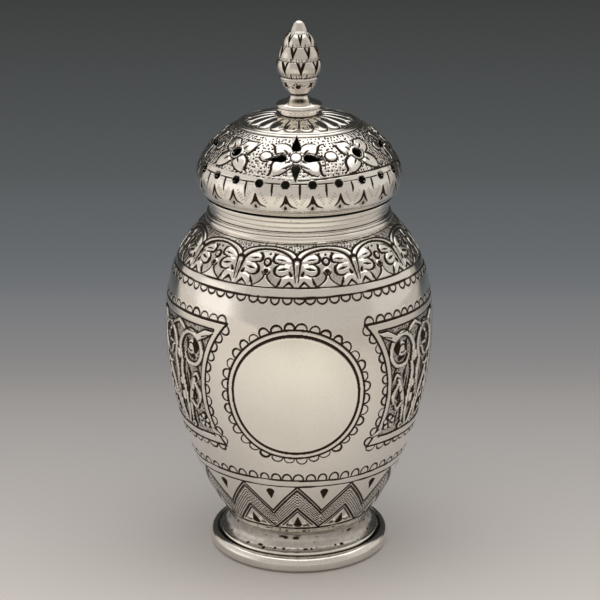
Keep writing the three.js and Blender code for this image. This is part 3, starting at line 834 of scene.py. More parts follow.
def chase_dome(sheet):
    height = sheet.height[:, None] + 0 * sheet.azimuth[None, :]
    mat_ground(sheet, (height > MAT_FOOT) & (height < MAT_TOP), 0.66, 0.2, 0.12, 1.0)
    for i in range(FLOWERS):
        azimuth = FLOWER_TURN + 45 * i
        for mirror in (False, True):
            flower_side(Pen(sheet, azimuth, FLOWER_HEIGHT, mirror), *FLOWER_KINDS[i % 2])
        flower_middle(Pen(sheet, azimuth, FLOWER_HEIGHT), pierced=i % 2 == 0)
        bead = Pen(sheet, azimuth + 23.6 + jitter(0.3), FLOWER_HEIGHT)
        bead.raised([(-0.18, 0), (0.18, 0)], 2.0, 0.2, 0.0, 0.8)
        bead.cut(ring(0, 0, 1.2, squash=0.87), 0.2, 0.1)
        bead.cut(ring(0, -0.02, 1.22, 200, 340, 0.87), 0.26, 0.12)
    pen = Pen(sheet, 0, DIPPED_LINE)
    turns = np.arange(0, 361, 3)
    dips = 0.5 * hump((turns - FLOWER_TURN + 45) % 90, 45, 22)
    pen.cut(pen.at(np.stack([turns, DIPPED_LINE - dips], 1)), 0.24, 0.09)
    band_line(sheet, 78.42, 0.2, 0.08, 0.04)
    band_line(sheet, 77.95, 0.12, 0.03, 0.03, 0.3)
    each = 360 / ROW_HOLES
    for i in range(ROW_HOLES):
        hole = Pen(sheet, (i + 0.5) * each, HOLE_HEIGHT)
        hole.raised([(0, 0)], 2.1, 0.05, 0.0, 0.3)
        hole.rim((0, 0), ROW_HOLE_RADIUS)
        dome_dart(Pen(sheet, (i + 0.5) * each + jitter(0.3), TIP_LINE))
        tick = Pen(sheet, i * each + jitter(0.3), 77.2)
        line = [(0, 78.2), (jitter(0.2), 77.2), (jitter(0.2), 76.2 + jitter(0.2))]
        tick.cut(tick.at(line), [0.3, 0.34, 0.1], 0.1)
    for radius, dark in ((RING_OUTER[0] + 0.12, 0.95), (RING_OUTER[0] - 0.42, 0.8)):
        line = dark * hump(sheet.radius, radius, 0.13)[:, None] * (height > 84)
        at_least(sheet.stain, ..., line)


def flower_side(pen, petals, strokes):
    """Petals as smooth pillows, then strokes."""

    def by(points):
        return pen.at([(d, FLOWER_HEIGHT + h) for d, h in smooth(points)])

    for petal in petals:
        pen.filled(by(petal + petal[:1]), 0.14, 0.0, 0.6)
    for points, widths in strokes:
        pen.cut(by(points), widths, 0.14)


def flower_middle(pen, pierced):
    """A bead with the edges of four petal holes round it, or the edge of one round hole."""
    if not pierced:
        pen.raised([(0, 0.0)], 2.9, 0.06, 0.0, 0.3)
        pen.cut(ring(0, 0.0, 1.5, 195, 345), 0.22, 0.1, 0.9)
        pen.rim((0, 0), 1.08)
        return
    pen.raised([(0, 0.05)], 2.1, 0.24, 0.0, 0.9)
    pen.cut(ring(0, 0.05, 1.03), 0.18, 0.1)
    for side in (-1, 1):
        pen.cut([(side * 3.3, 0), (side * 4.85, 0)], [0.5, 0.14], 0.2, 1.0)
    for quarter, hole in enumerate(PETAL_HOLES):
        a = quarter * math.pi / 2
        turned_by = np.array([[math.cos(a), math.sin(a)], [-math.sin(a), math.cos(a)]])
        edge = np.array(petal_hole(*hole)) @ turned_by
        pen.cut(np.concatenate([edge, edge[:1]]), 0.12, 0.01, 1.0, 0.04, burr=0)


def dome_dart(pen):
    lean = jitter(0.3)
    apex = 76.35 + jitter(0.1)
    long_side = 1 if rng.random() < 0.7 else -1

    def by(points):
        return pen.at([(lean + d, apex + h) for d, h in points])

    pen.cut(by([(0, -1.0), (0, -1.9)]), [0.7, 1.6], 0.03, 0.36, burr=0)
    if rng.random() < 0.65:
        pen.cut(by([(0, 0.1), (0, -1.1)]), [0.16, rng.uniform(0.55, 0.8)], 0.12, 0.95)
    far = [(0, 0.1), (0.6, -0.7), (1.8, -1.5), (3.4, -2.0), (5.8, -2.3)]
    close = [(0, 0.1), (0.6, -0.8), (1.6, -1.5), (3.2, -2.1)]
    for side, leg in ((long_side, far), (-long_side, close)):
        pen.cut(by(smooth([(side * d, h) for d, h in leg])), [0.24, 0.36, 0.32, 0.24, 0.1], 0.13)
        for k in range(5):
            x, y = side * (2.6 + 0.75 * k), 0.1 - 0.42 * k
            pen.cut(by([(x, y), (x + side * 1.1, y + 0.32)]), 0.13, 0.03, 0.5, burr=0)
    if rng.random() < 0.85:
        dot = by([(jitter(0.2), -2.15)])[0]
        pen.cut([dot, dot - [0, 0.25]], [0.34, 0.42], 0.14, 1.0)


def flute_crown(sheet):
    """Petals round the crown, rounded at the ring."""
    width = 360 / CROWN_PETALS
    radius = sheet.radius[:, None]
    across = np.abs(sheet.azimuth % width - width / 2)[None, :] / (width / 2)
    reach = RING_INNER[0] - 0.35 - 1.3 * across**2.5
    start = CROWN_FLAT + 0.1
    within = ramp(reach - radius, 0.0, 0.35) * ramp(radius, start, start + 0.8)
    arch = np.sqrt(np.clip(1 - across**2, 0, 1))
    sheet.level += (within * (0.34 * arch - 0.2)).astype(np.float32)
    valley = within * ramp(across, 0.74, 0.95)
    edge = ramp(np.abs(reach - radius), 0.24, 0.08) * (radius > start + 1.5)
    at_least(sheet.groove, ..., 0.1 * edge)
    at_least(sheet.stain, ..., np.maximum(0.9 * valley, 0.85 * edge))


# Meshes

def wave(rows, columns, amount, seed):
    """Slight unevenness left by the hammer, as a smooth field."""
    own = np.random.default_rng(seed)
    a = np.linspace(0, 2 * math.pi, columns, endpoint=False)[None, :]
    r = np.linspace(0, 1, rows)[:, None]
    field = np.zeros((rows, columns))
    for _ in range(26):
        turns = own.integers(1, 13)
        rises = own.uniform(0, 5)
        size = own.normal(0, 1) / (1 + 0.1 * turns)
        field += size * np.sin(turns * a + rises * 6.28 * r + own.uniform(0, 6.28))
    return amount * field / 3.5


def rings_of(outline, columns, lift=0.0):
    """Points of a turned outline, pushed out along its normal by lift."""
    a = 2 * math.pi * np.arange(columns) / columns
    normal = -sideways(outline)
    radius = outline[:, :1] + normal[:, :1] * lift + 0 * a
    height = outline[:, 1:] + normal[:, 1:] * lift + 0 * a
    return np.stack([radius * np.sin(a), -radius * np.cos(a), height], 2)


def added(name, data):
    """A new object in the scene."""
    made = bpy.data.objects.new(name, data)
    bpy.context.scene.collection.objects.link(made)
    return made


def skin(name, rings, stain, crease, poles=(), run=None):
    """A mesh from rows of points: closed on itself, or ended in two poles on the axis.

    run is how far along the outline each row lies, for a skin with poles.
    """
    rows, columns, _ = rings.shape
    points = rings.reshape(-1, 3)
    row, column = np.arange(rows - 1 if len(poles) else rows), np.arange(columns)
    after = (column + 1) % columns
    here, above = row[:, None] * columns, (row[:, None] + 1) % rows * columns
    quads = np.stack([here + column, here + after, above + after, above + column], 2)
    if len(poles):
        v = 0.02 + 0.96 * run / run[-1]
    else:
        v = distances(np.concatenate([rings[:, 0], rings[:1, 0]]))
        v /= v[-1]
    uv = np.empty((*quads.shape, 2))
    uv[..., 0] = np.stack([column, column + 1, column + 1, column], 1) / columns
    uv[..., 1] = np.stack([v[row], v[row], v[row + 1], v[row + 1]], 1)[:, None]
    faces, uvs = [quads.reshape(-1, 4)], [uv.reshape(-1, 2)]
    for k in range(len(poles)):
        last_row = k * (rows - 1)
        pair = np.stack([column, column + 1] if k else [column + 1, column], 1)
        tip = np.full((columns, 1), len(points) + k)
        faces.append(np.concatenate([last_row * columns + pair % columns, tip], 1))
        fan = np.empty((columns, 3, 2))
        fan[..., 0] = np.concatenate([pair, column[:, None] + 0.5], 1) / columns
        fan[..., 1] = (v[last_row], v[last_row], k)
        uvs.append(fan.reshape(-1, 2))
    points = np.concatenate([points] + [[(0, 0, pole)] for pole in poles])
    loops = np.concatenate([face.ravel() for face in faces])
    sides = np.concatenate([np.full(len(face), face.shape[1]) for face in faces])
    mesh = bpy.data.meshes.new(name)
    mesh.vertices.add(len(points))
    mesh.vertices.foreach_set("co", (points * MM).astype(np.float32).ravel())
    mesh.loops.add(len(loops))
    mesh.loops.foreach_set("vertex_index", loops.astype(np.int32))
    mesh.polygons.add(len(sides))
    mesh.polygons.foreach_set("loop_start", (np.cumsum(sides) - sides).astype(np.int32))
    mesh.update(calc_edges=True)
    layer = mesh.uv_layers.new(name="OFBake")
    layer.data.foreach_set("uv", np.concatenate(uvs).astype(np.float32).ravel())
    values = np.zeros(len(points), np.float32)
    values[: stain.size] = stain.ravel()
    mesh.attributes.new("stain", "FLOAT", "POINT").data.foreach_set("value", values)
    mesh.validate()
    mesh.shade_smooth()
    if crease:
        mesh.set_sharp_from_angle(angle=math.radians(crease))
    made = added(name, mesh)
    work = bmesh.new()
    work.from_mesh(mesh)
    if work.calc_volume(signed=True) < 0:
        bmesh.ops.reverse_faces(work, faces=work.faces)
        work.to_mesh(mesh)
    work.free()
    return made


def relief(sheet):
    """The chased surface: raised work, less the cuts, with the ridges beside them."""
    ridges = sheet.burr * ramp(sheet.groove, 0.03, 0.0) * (1 - sheet.stain)
    return sheet.level - sheet.groove + ridges


def cavity(level, reach):
    """1 in hollows beside raised work, 0 elsewhere."""
    return np.clip((blurred(level, reach, reach) - level) / 0.12, 0, 1)


def near(outline, height, reach):
    return hump(outline[:, 1], height, reach)


def no_stain(outline):
    return 0 * outline[:, 1]


def turned(name, outline, columns=256, uneven=0.0, stain_at=no_stain, specks=()):
    """A plain turned piece from a closed outline. specks are (count, low, high, size) of dirt."""
    lift = wave(len(outline), columns, uneven, len(name)) if uneven else 0.0
    rings = rings_of(outline, columns, lift)
    stain = stain_at(outline)[:, None] + np.zeros(rings.shape[:2])
    a = 2 * math.pi * np.arange(columns) / columns
    for count, low, high, size in specks:
        for _ in range(count):
            turn = rng.uniform(0, 2 * math.pi)
            height = rng.uniform(low, high)
            long, tall = size * rng.uniform(0.6, 3.0), size * rng.uniform(0.5, 1.1)
            x = ((a - turn + math.pi) % (2 * math.pi) - math.pi)[None, :] * outline[:, :1]
            away = np.hypot(x / long, (outline[:, 1:] - height) / tall)
            stain = np.maximum(stain, rng.uniform(0.4, 0.95) * ramp(away, 1.1, 0.5))
    return skin(name, rings, np.clip(stain, 0, 1), 50)


# Materials

class Nodes:
    """The shader nodes of a material or world, added one at a time."""

    def __init__(self, owner, coordinates):
        owner.use_nodes = True
        self.nodes, self.links = owner.node_tree.nodes, owner.node_tree.links
        self.place = self.nodes.new("ShaderNodeTexCoord").outputs[coordinates]

    def put(self, socket, value):
        """Sets a socket to a number or a colour, or joins it to another node's output."""
        if isinstance(value, bpy.types.NodeSocket):
            self.links.new(value, socket)
        else:
            socket.default_value = (*value, 1) if isinstance(value, tuple) else value

    def made(self, kind, inputs, **settings):
        node = self.nodes.new("ShaderNode" + kind)
        for key, value in settings.items():
            setattr(node, key, value)
        for key, value in inputs.items():
            self.put(node.inputs[key], value)
        return node

    def noise(self, scale, detail, roughness=0.6):
        inputs = {"Vector": self.place, "Scale": scale, "Detail": detail, "Roughness": roughness}
        return self.made("TexNoise", inputs).outputs["Fac"]

    def mapped(self, value, start, end, low=0.0, high=1.0, kind="LINEAR"):
        inputs = {"From Min": start, "From Max": end, "To Min": low, "To Max": high}
        inputs["Value"] = value
        return self.made("MapRange", inputs, interpolation_type=kind).outputs["Result"]

    def soft_step(self, value, start, end):
        return self.mapped(value, start, end, kind="SMOOTHSTEP")

    def maths(self, operation, *values, clamp=False):
        inputs = dict(enumerate(values))
        return self.made("Math", inputs, operation=operation, use_clamp=clamp).outputs["Value"]

    def mixed(self, share, a, b):
        node = self.made("Mix", {"Factor": share}, data_type="RGBA")
        for socket, value in zip([s for s in node.inputs if s.type == "RGBA"], (a, b)):
            self.put(socket, value)
        return [s for s in node.outputs if s.type == "RGBA"][0]

    def split(self):
        return self.made("SeparateXYZ", {"Vector": self.place}).outputs


# The dark colour of tarnish, also used for painted shade
TARNISH_AND_SHADE = (0.034, 0.022, 0.015)


def silver(name, colour, rough, worn, grain=1.0):
    """Silver with dark tarnish in its recesses, and the same dark colour as painted shade where a
    piece paints it, fine scratches and a slightly uneven gloss.
    """
    material = bpy.data.materials.new(name)
    tree = Nodes(material, "Object")
    shader = tree.nodes["Principled BSDF"]
    shader.inputs["Metallic"].default_value = 1.0
    # This attribute holds tarnish and, on some pieces, painted shade
    stain = tree.made("Attribute", {}, attribute_name="stain").outputs["Fac"]
    patchy = tree.mapped(tree.noise(900, 4), 0.3, 0.7, 0.78, 1.06)
    dark = tree.mapped(tree.maths("MULTIPLY", stain, patchy), 0.12, 0.74)
    clean = tree.mixed(tree.mapped(tree.noise(60, 5), 0.35, 0.7), colour, worn)
    scratches = tree.mapped(tree.noise(2600, 2), 0.45, 0.75, 0.0, 0.3)
    faint = tree.mixed(scratches, clean, tuple(0.82 * c for c in worn))
    tree.put(shader.inputs["Base Color"], tree.mixed(dark, faint, TARNISH_AND_SHADE))
    gloss = tree.mapped(tree.noise(140, 6), 0.3, 0.75, rough, rough + 0.1)
    dull = tree.mapped(dark, 0.0, 1.0, 0.0, 0.35)
    tree.put(shader.inputs["Roughness"], tree.maths("ADD", gloss, dull, clamp=True))
    inputs = {"Strength": 0.1 * grain, "Distance": 0.00005, "Height": tree.noise(1700, 5, 0.7)}
    tree.put(shader.inputs["Normal"], tree.made("Bump", inputs).outputs["Normal"])
    return material


POLISHED = silver("polished silver", (0.93, 0.90, 0.85), 0.05, (0.88, 0.84, 0.78))
CHASED = silver("chased silver", (0.92, 0.89, 0.84), 0.06, (0.86, 0.82, 0.76))
CAST = silver("cast silver", (0.92, 0.88, 0.83), 0.12, (0.84, 0.80, 0.73))
INNER = silver("inner silver", (0.80, 0.77, 0.72), 0.34, (0.70, 0.66, 0.60), grain=1.6)


def finish_piece(made, material, body, slot, *nodes):
    made.data.materials.clear()
    made.data.materials.append(material)
    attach(made, body)
    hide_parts(*nodes)


# Foot

def make_foot():
    round_ring = arc(FOOT_RADIUS - 1.3, FOOT_RING_TOP / 2, 1.3, FOOT_RING_TOP / 2, -80, 80, 20)
    ring_outline = joined(
        (FOOT_RING_BORE, 0.0),
        (FOOT_RADIUS - 1.3, 0.0),
        round_ring,
        (FOOT_RADIUS - 1.35, FOOT_RING_TOP),
        (STEP_RADIUS + 0.3, FOOT_RING_TOP - 0.6),
        (STEP_RADIUS - 0.1, FOOT_RING_TOP - 0.66),
        (FOOT_RING_BORE, FOOT_RING_TOP - 0.66),
    )

    def channel_shade_and_tarnish(p):
        # Painted shade: the ring's top face darkens inwards, in the channel under the collar;
        # elsewhere a light even tarnish of 0.2
        inward = ramp(p[:, 0], FOOT_RADIUS - 1.05, FOOT_RADIUS - 1.4)
        return np.maximum(0.3 * inward * (p[:, 1] > FOOT_RING_TOP - 0.7), 0.2)

    outline = dense(eased(ring_outline, 0.12), 0.2)
    made = turned("foot_ring_wire", outline, 360, 0.02, channel_shade_and_tarnish, [(14, 0.4, 2.4, 0.12)])
    finish_piece(made, POLISHED, "pot", "polished_silver", "foot_ring")
    base, top = FOOT_RING_TOP - 0.63, BODY_BASE - SOLDER
    lip = FOOT_RING_TOP - 0.2
    step = lip + 0.5
    waist = [(FOOT_WAIST - 0.05, step + 0.6), (FOOT_WAIST, top - 0.7)]
    collar = joined(
        (STEP_RADIUS - 0.75, base),
        (STEP_RADIUS - 0.7, lip - 0.05),
        (STEP_RADIUS - 0.1, lip),
        (STEP_RADIUS, lip + 0.18),
        (STEP_RADIUS - 0.14, step),
        curve([(STEP_RADIUS - 0.55, step + 0.1), *waist], 24),
        (FOOT_WAIST + 0.2, top),
        (FOOT_WAIST - 0.7, top),
        (FOOT_WAIST - 0.7, base + 0.9),
        (STEP_RADIUS - 1.3, base),
    )

    def darkening(p):
        # Painted shadow on the collar's lower edge, down in the ring, and painted shade over the
        # concave waist; the step and the top joint get dark lines
        under = (p[:, 1] < lip + 0.06) * (p[:, 0] > FOOT_WAIST)
        seam = 0.5 * near(p, step + 0.12, 0.1) * (p[:, 0] < STEP_RADIUS - 0.3)
        joint = 0.7 * near(p, top, 0.2) * (p[:, 0] > FOOT_WAIST - 0.1)
        hollow_shade = (p[:, 1] > step + 0.1) * (p[:, 0] > FOOT_WAIST - 0.1)
        return np.clip(np.maximum(0.95 * under + seam + joint, 0.4 * hollow_shade), 0, 1)

    specks = [
        (40, step + 0.2, step + 0.55, 0.3), (34, top - 1.35, top - 0.75, 0.4), (90, step, top, 0.1),
    ]
    outline = dense(eased(collar, 0.08), 0.12)
    made = turned("foot_moulding", outline, FINE_COLUMNS, 0.025, darkening, specks)
    finish_piece(made, POLISHED, "pot", "polished_silver", "foot_collar")


# Body

def make_body():
    sheet = Sheet(body_outline(240), BODY_COLUMNS, ROW_PITCH)
    shoulder_band(sheet)
    belly_band(sheet)
    lower_band(sheet)
    hollow = cavity(blurred(sheet.level, 1, 1), 4)
    stain = np.clip(np.maximum(sheet.stain, 0.55 * hollow * (sheet.level < -0.05)), 0, 1)
    lift = relief(sheet) + wave(len(sheet.run), BODY_COLUMNS, 0.03, 3)
    floor, throat = BODY_BASE + SHEET_WALL, BODY_TOP - SHEET_WALL
    bore, lip = NECK_RADIUS + SOLDER, BODY_TOP + 0.01
    inner = body_outline(24)
    inner = inner + SHEET_WALL * sideways(inner)
    inner = inner[(inner[:, 1] < throat - 0.1) | (inner[:, 0] > BELLY_RADIUS - 1)]
    corner = [(FOOT_WAIST + x, BODY_BASE + y) for x, y in ((0.2, 0), (0.6, 0), (0.75, 0.55))]
    under = joined((5, BODY_BASE), (10, BODY_BASE), curve(corner, 4)[:-1])
    mouth = eased([(NECK_RADIUS + 1.2, lip), (bore, lip), (bore, throat)], 0.08, closed=False)
    back = joined(mouth[1:], inner[::-1], (10, floor), (5, floor))
    outer = rings_of(sheet.outline, BODY_COLUMNS, lift)
    rings = [rings_of(under, BODY_COLUMNS), outer, rings_of(back, BODY_COLUMNS)]
    clean = np.zeros((len(under), BODY_COLUMNS))
    stain = np.concatenate([clean, stain, np.full((len(back), BODY_COLUMNS), 0.12)])
    run = distances(joined(under, sheet.outline, back))
    made = skin("body_sheet", np.concatenate(rings), stain, 70, (BODY_BASE, floor), run)
    finish_piece(made, CHASED, "pot", "chased_silver", "body_shell")


# Neck

def make_neck():
    band = joined(
        (NECK_BORE, NECK_FOOT),
        (NECK_RADIUS, NECK_FOOT),
        (NECK_RADIUS, NECK_TOP - 2.1),
        (NECK_RADIUS - 0.05, NECK_TOP - 1.95),
        (NECK_RADIUS + 0.08, NECK_TOP - 1.8),
        (NECK_RADIUS + 0.14, NECK_TOP - 1.15),
        (NECK_RADIUS + 0.1, NECK_TOP - 0.98),
        (LIP_RADIUS - 0.1, NECK_TOP - 0.8),
        (LIP_RADIUS, NECK_TOP - 0.45),
        (LIP_RADIUS, NECK_TOP - 0.1),
        (LIP_RADIUS - 0.06, NECK_TOP),
        (NECK_BORE, NECK_TOP),
    )

    def lines_and_rim_shadow(p):
        lines = 0.5 * near(p, NECK_TOP - 0.98, 0.1) + 0.42 * near(p, NECK_TOP - 1.95, 0.09)
        # Painted shadow: the band's last 0.08 mm under the cover's rim darkens nearly to black,
        # beside the dark line above the moulding
        joint = near(p, MOULDING_TOP + 0.24, 0.12) + 0.9 * ramp(p[:, 1], NECK_TOP - 0.08, NECK_TOP)
        return np.clip(lines + joint, 0, 1) * (p[:, 0] > NECK_RADIUS - 0.1)

    outline = dense(eased(band, 0.14), 0.12)
    specks = [(14, 68.8, 71.3, 0.07)]
    made = turned("neck_sleeve", outline, FINE_COLUMNS, 0.012, lines_and_rim_shadow, specks)
    finish_piece(made, POLISHED, "pot", "polished_silver", "neck_band")
    bore, base, top = NECK_RADIUS + SOLDER, BODY_TOP + SOLDER, MOULDING_TOP
    half = (top - base - 0.6) / 2
    width = MOULDING_RADIUS - NECK_RADIUS - 0.12
    torus = arc(NECK_RADIUS + 0.5 * width, base + half, 0.5 * width, half, -84, 84, 22)
    reed = arc(NECK_RADIUS + 0.3 * width, top - 0.3, 0.36 * width, 0.27, -70, 80, 12)
    crease = (NECK_RADIUS + 0.4 * width, top - 0.58)
    moulding = joined((bore, base), torus, crease, reed, (bore, top))

    def creases(p):
        dark = 0.42 * near(p, top - 0.58, 0.08) + 0.8 * near(p, base, 0.14)
        return np.clip(dark, 0, 1) * (p[:, 0] > NECK_RADIUS + 0.1)

    specks = [(10, base + 0.2, top - 0.3, 0.08)]
    made = turned("neck_reeds", dense(moulding, 0.08), FINE_COLUMNS, 0.015, creases, specks)
    finish_piece(made, POLISHED, "pot", "polished_silver", "neck_moulding")


# Cover

CUTTER_DEPTH = 3.4
# Painted shade on the hole walls and over the cover's inside, so the piercings look black
PAINTED_HOLE_SHADE = 1.4


def square_to_side(azimuth, height, spin=0.0):
    """Where a cutter made along +Z goes to stand square on the cover's side."""
    side = cover_outline(200)
    below, radius, above = np.interp(
        [height - 0.05, height, height + 0.05], side[:, 1], side[:, 0]
    )
    tilt = math.atan2(below - above, 0.1)
    return (
        Matrix.Rotation(math.radians(azimuth), 4, "Z")
        @ Matrix.Translation((0, -radius * MM, height * MM))
        @ Matrix.Rotation(math.pi / 2 - tilt, 4, "X")
        @ Matrix.Rotation(spin, 4, "Z")
    )


def petal_hole(inset, length, radius):
    centre, tip = inset + radius, inset + length
    tangent = math.asin(radius / (tip - centre))
    a = np.linspace(math.pi - tangent, 2 * math.pi + tangent, 25)
    rounded = [(radius * math.cos(v), centre + radius * math.sin(v)) for v in a]
    return rounded + [(0.06, tip - 0.1), (0.0, tip), (-0.06, tip - 0.1)]


def cutters():
    """All the piercings' cutters as one object of upright prisms."""
    circle = arc(0, 0, 1, 1, 0, 360, 40)[:-1]
    jobs = []
    for i in range(ROW_HOLES):
        place = square_to_side((i + 0.5) * 360 / ROW_HOLES, HOLE_HEIGHT)
        jobs.append((place, ROW_HOLE_RADIUS * circle))
    for i in range(FLOWERS):
        azimuth = FLOWER_TURN + 45 * i
        if i % 2:
            jobs.append((square_to_side(azimuth, FLOWER_HEIGHT), 1.1 * circle))
            continue
        for quarter, hole in enumerate(PETAL_HOLES):
            place = square_to_side(azimuth, FLOWER_HEIGHT, quarter * math.pi / 2)
            jobs.append((place, petal_hole(*hole)))
    points, faces = [], []
    for place, outline in jobs:
        n, start = len(outline), len(points)
        ends = [(x, y, z) for z in (-CUTTER_DEPTH / 2, CUTTER_DEPTH / 2) for x, y in outline]
        points += [place @ (Vector(p) * MM) for p in ends]
        sides = [tuple(reversed(range(n))), tuple(range(n, 2 * n))]
        sides += [(i, (i + 1) % n, n + (i + 1) % n, n + i) for i in range(n)]
        faces += [tuple(start + i for i in side) for side in sides]
    mesh = bpy.data.meshes.new("piercings")
    mesh.from_pydata(points, [], faces)
    mesh.update()
    # Painted shade: the hole walls take the cutters' dark value
    darkening = mesh.attributes.new("stain", "FLOAT", "POINT")
    darkening.data.foreach_set("value", np.full(len(points), PAINTED_HOLE_SHADE, np.float32))
    return added("piercings", mesh)


def dome_sheet():
    """The cover's chased outside, from above the rim over the raised ring to the crown."""
    side = cover_outline(200)
    side = side[side[:, 1] > RIM_TOP + SOLDER]
    ring_foot = (RING_OUTER[0] + 0.04, RING_OUTER[1] + 0.06)
    ring_out = (RING_OUTER[0] - 0.12, RING_OUTER[1] + 0.26)
    ring_in = (RING_INNER[0] + 0.2, RING_INNER[1] + 0.2)
    plain = joined(side[-1], ring_foot, ring_out, ring_in, RING_INNER)
    edge = dense(eased(plain, 0.14, closed=False, steps=5), 0.15)[:-3]
    edge = edge[np.concatenate([[True], np.hypot(*np.diff(edge, axis=0).T) > 0.02])]
    edge = edge[edge[:, 1] >= RING_OUTER[1] - 0.001]
    outline = joined(side, edge[1:], crown_outline(80)[1:])
    sheet = Sheet(outline, DOME_COLUMNS, ROW_PITCH)
    true_height = sheet.height.copy()
    rising = true_height + np.arange(len(true_height)) * 1e-7
    sheet.height = np.maximum.accumulate(rising)
    chase_dome(sheet)
    sheet.height = true_height
    flute_crown(sheet)
    return sheet


def make_dome():
    sheet = dome_sheet()
    hollow = cavity(sheet.level, 3)
    beside_ring = hump(sheet.radius, RING_INNER[0], 0.16) * (sheet.height > RING_INNER[1] - 0.1)
    stain = np.clip(np.maximum(sheet.stain, 0.5 * hollow), 0, 1)
    stain = np.maximum(stain, 0.9 * beside_ring[:, None])
    lift = relief(sheet) + wave(len(sheet.run), DOME_COLUMNS, 0.02, 5)
    inner = joined(cover_outline(24), crown_outline(8))
    inner = inner + SHEET_WALL * sideways(inner)
    inner = inner[inner[:, 1] > RIM_TOP + 0.3]
    flat, under = CROWN_FLAT - 1.5, CROWN_TOP - SHEET_WALL
    top = joined((flat, CROWN_TOP), (PIN_BORE, CROWN_TOP), (PIN_BORE, under), (flat, under))
    foot = np.array([[sheet.radius[0] - SHEET_WALL, sheet.height[0]]])
    back = [rings_of(part, DOME_COLUMNS) for part in (top, inner[::-1])]
    back.append(rings_of(np.repeat(foot, 2, 0), DOME_COLUMNS)[:1])
    rings = np.concatenate([rings_of(sheet.outline, DOME_COLUMNS, lift), *back])
    # Painted shade over everything past the chased outside: the seat under the finial, the bore and
    # the inside
    inside = np.full((len(rings) - len(stain), DOME_COLUMNS), PAINTED_HOLE_SHADE)
    made = skin("cover_dome_sheet", rings, np.concatenate([stain, inside]), 0)
    holes = cutters()
    step = made.modifiers.new("piercing", "BOOLEAN")
    step.operation = "DIFFERENCE"
    step.solver = "MANIFOLD"
    step.object = holes
    depsgraph = bpy.context.evaluated_depsgraph_get()
    cut = bpy.data.meshes.new_from_object(made.evaluated_get(depsgraph))
    made.modifiers.clear()
    uncut, made.data = made.data, cut
    bpy.data.meshes.remove(uncut)
    bpy.data.objects.remove(holes)
    cut.shade_smooth()
    cut.set_sharp_from_angle(angle=math.radians(60))
    finish_piece(made, CHASED, "cover", "chased_silver", "cover_dome")


def make_rim():
    side = cover_outline(120)
    side = side[side[:, 1] < RIM_TOP]
    side[:, 0] -= 0.1 * hump(side[:, 1], RIM_TOP - 0.2, 0.16)
    bore, seat = BEZEL_RADIUS + SOLDER, NECK_TOP + SOLDER
    outline = joined(
        (bore, seat),
        (LIP_RADIUS - 0.7, seat),
        (LIP_RADIUS - 0.65, COVER_BASE - 0.03),
        side,
        (side[-1, 0], RIM_TOP),
        (bore, RIM_TOP),
    )

    def shade(p):
        groove = 0.4 * near(p, RIM_TOP - 0.2, 0.17) * (p[:, 0] > LIP_RADIUS)
        under = (p[:, 1] < COVER_BASE + 0.02) * (p[:, 0] > LIP_RADIUS - 0.9)
        return np.clip(groove + 0.95 * under, 0, 1)

    outline = dense(eased(outline, 0.05), 0.08)
    made = turned("cover_rim_wire", outline, FINE_COLUMNS, 0.01, shade)
    finish_piece(made, POLISHED, "cover", "polished_silver", "cover_rim")
    bezel = [
        (BEZEL_RADIUS - SHEET_WALL, BEZEL_FOOT),
        (BEZEL_RADIUS - 0.1, BEZEL_FOOT),
        (BEZEL_RADIUS, BEZEL_FOOT + 0.5),
        (BEZEL_RADIUS, BEZEL_TOP),
        (BEZEL_RADIUS - SHEET_WALL, BEZEL_TOP),
    ]
    made = turned("cover_sleeve", dense(eased(bezel, 0.12), 0.5), uneven=0.02)
    finish_piece(made, INNER, "cover", "inner_silver", "cover_bezel")


# Finial

def make_finial():
    head_top, half_head = PIN_FOOT + 0.6, 0.5 * PIN_HEAD_RADIUS
    pin = joined(
        (0.001, PIN_FOOT),
        arc(half_head, PIN_FOOT + 0.3, half_head, 0.3, -90, 0, 6),
        (PIN_HEAD_RADIUS, head_top),
        (PIN_RADIUS, head_top),
        (PIN_RADIUS, PIN_TOP),
        (0.001, PIN_TOP),
    )
    made = turned("finial_rivet", pin, 96)
    finish_piece(made, INNER, "cover", "inner_silver", "finial_pin")
    half = (COLLET_TOP - CROWN_TOP) / 2
    bead = arc(COLLET_RADIUS - half, CROWN_TOP + half, half, half - SOLDER, -85, 85, 14)
    collet = joined((PIN_BORE, CROWN_TOP + SOLDER), bead, (PIN_BORE, COLLET_TOP - SOLDER))

    def joints(p):
        return 0.8 * near(p, COLLET_TOP, 0.12) + 0.8 * near(p, CROWN_TOP, 0.12)

    made = turned("finial_bead_ring", dense(collet, 0.2), 192, 0.0, joints)
    finish_piece(made, POLISHED, "cover", "polished_silver", "finial_collet")
    base = COLLET_TOP + SOLDER
    disc_top = COLLET_TOP + 1.2
    flare = [
        (DISC_RADIUS - 0.3, disc_top + 0.22),
        (STEM_WAIST + 1.3, disc_top + 0.75),
        (STEM_WAIST, STEM_TOP - 0.9),
        (STEM_WAIST, STEM_TOP),
    ]
    stem = joined(
        (PIN_BORE, base),
        (DISC_RADIUS - 0.2, base),
        (DISC_RADIUS - 0.02, base + 0.25),
        (DISC_RADIUS - 0.05, base + 0.5),
        (DISC_RADIUS - 0.22, base + 0.58),
        (DISC_RADIUS - 0.02, base + 0.66),
        (DISC_RADIUS, disc_top - 0.12),
        (DISC_RADIUS - 0.1, disc_top + 0.05),
        curve(flare, 24),
        (PIN_BORE, STEM_TOP),
    )

    def shade(p):
        return 0.85 * near(p, base + 0.58, 0.06) * (p[:, 0] > 3.5) + 0.9 * near(p, STEM_TOP, 0.3)

    made = turned("finial_baluster", dense(eased(stem, 0.08), 0.1), 192, 0.0, shade)
    finish_piece(made, POLISHED, "cover", "polished_silver", "finial_stem")


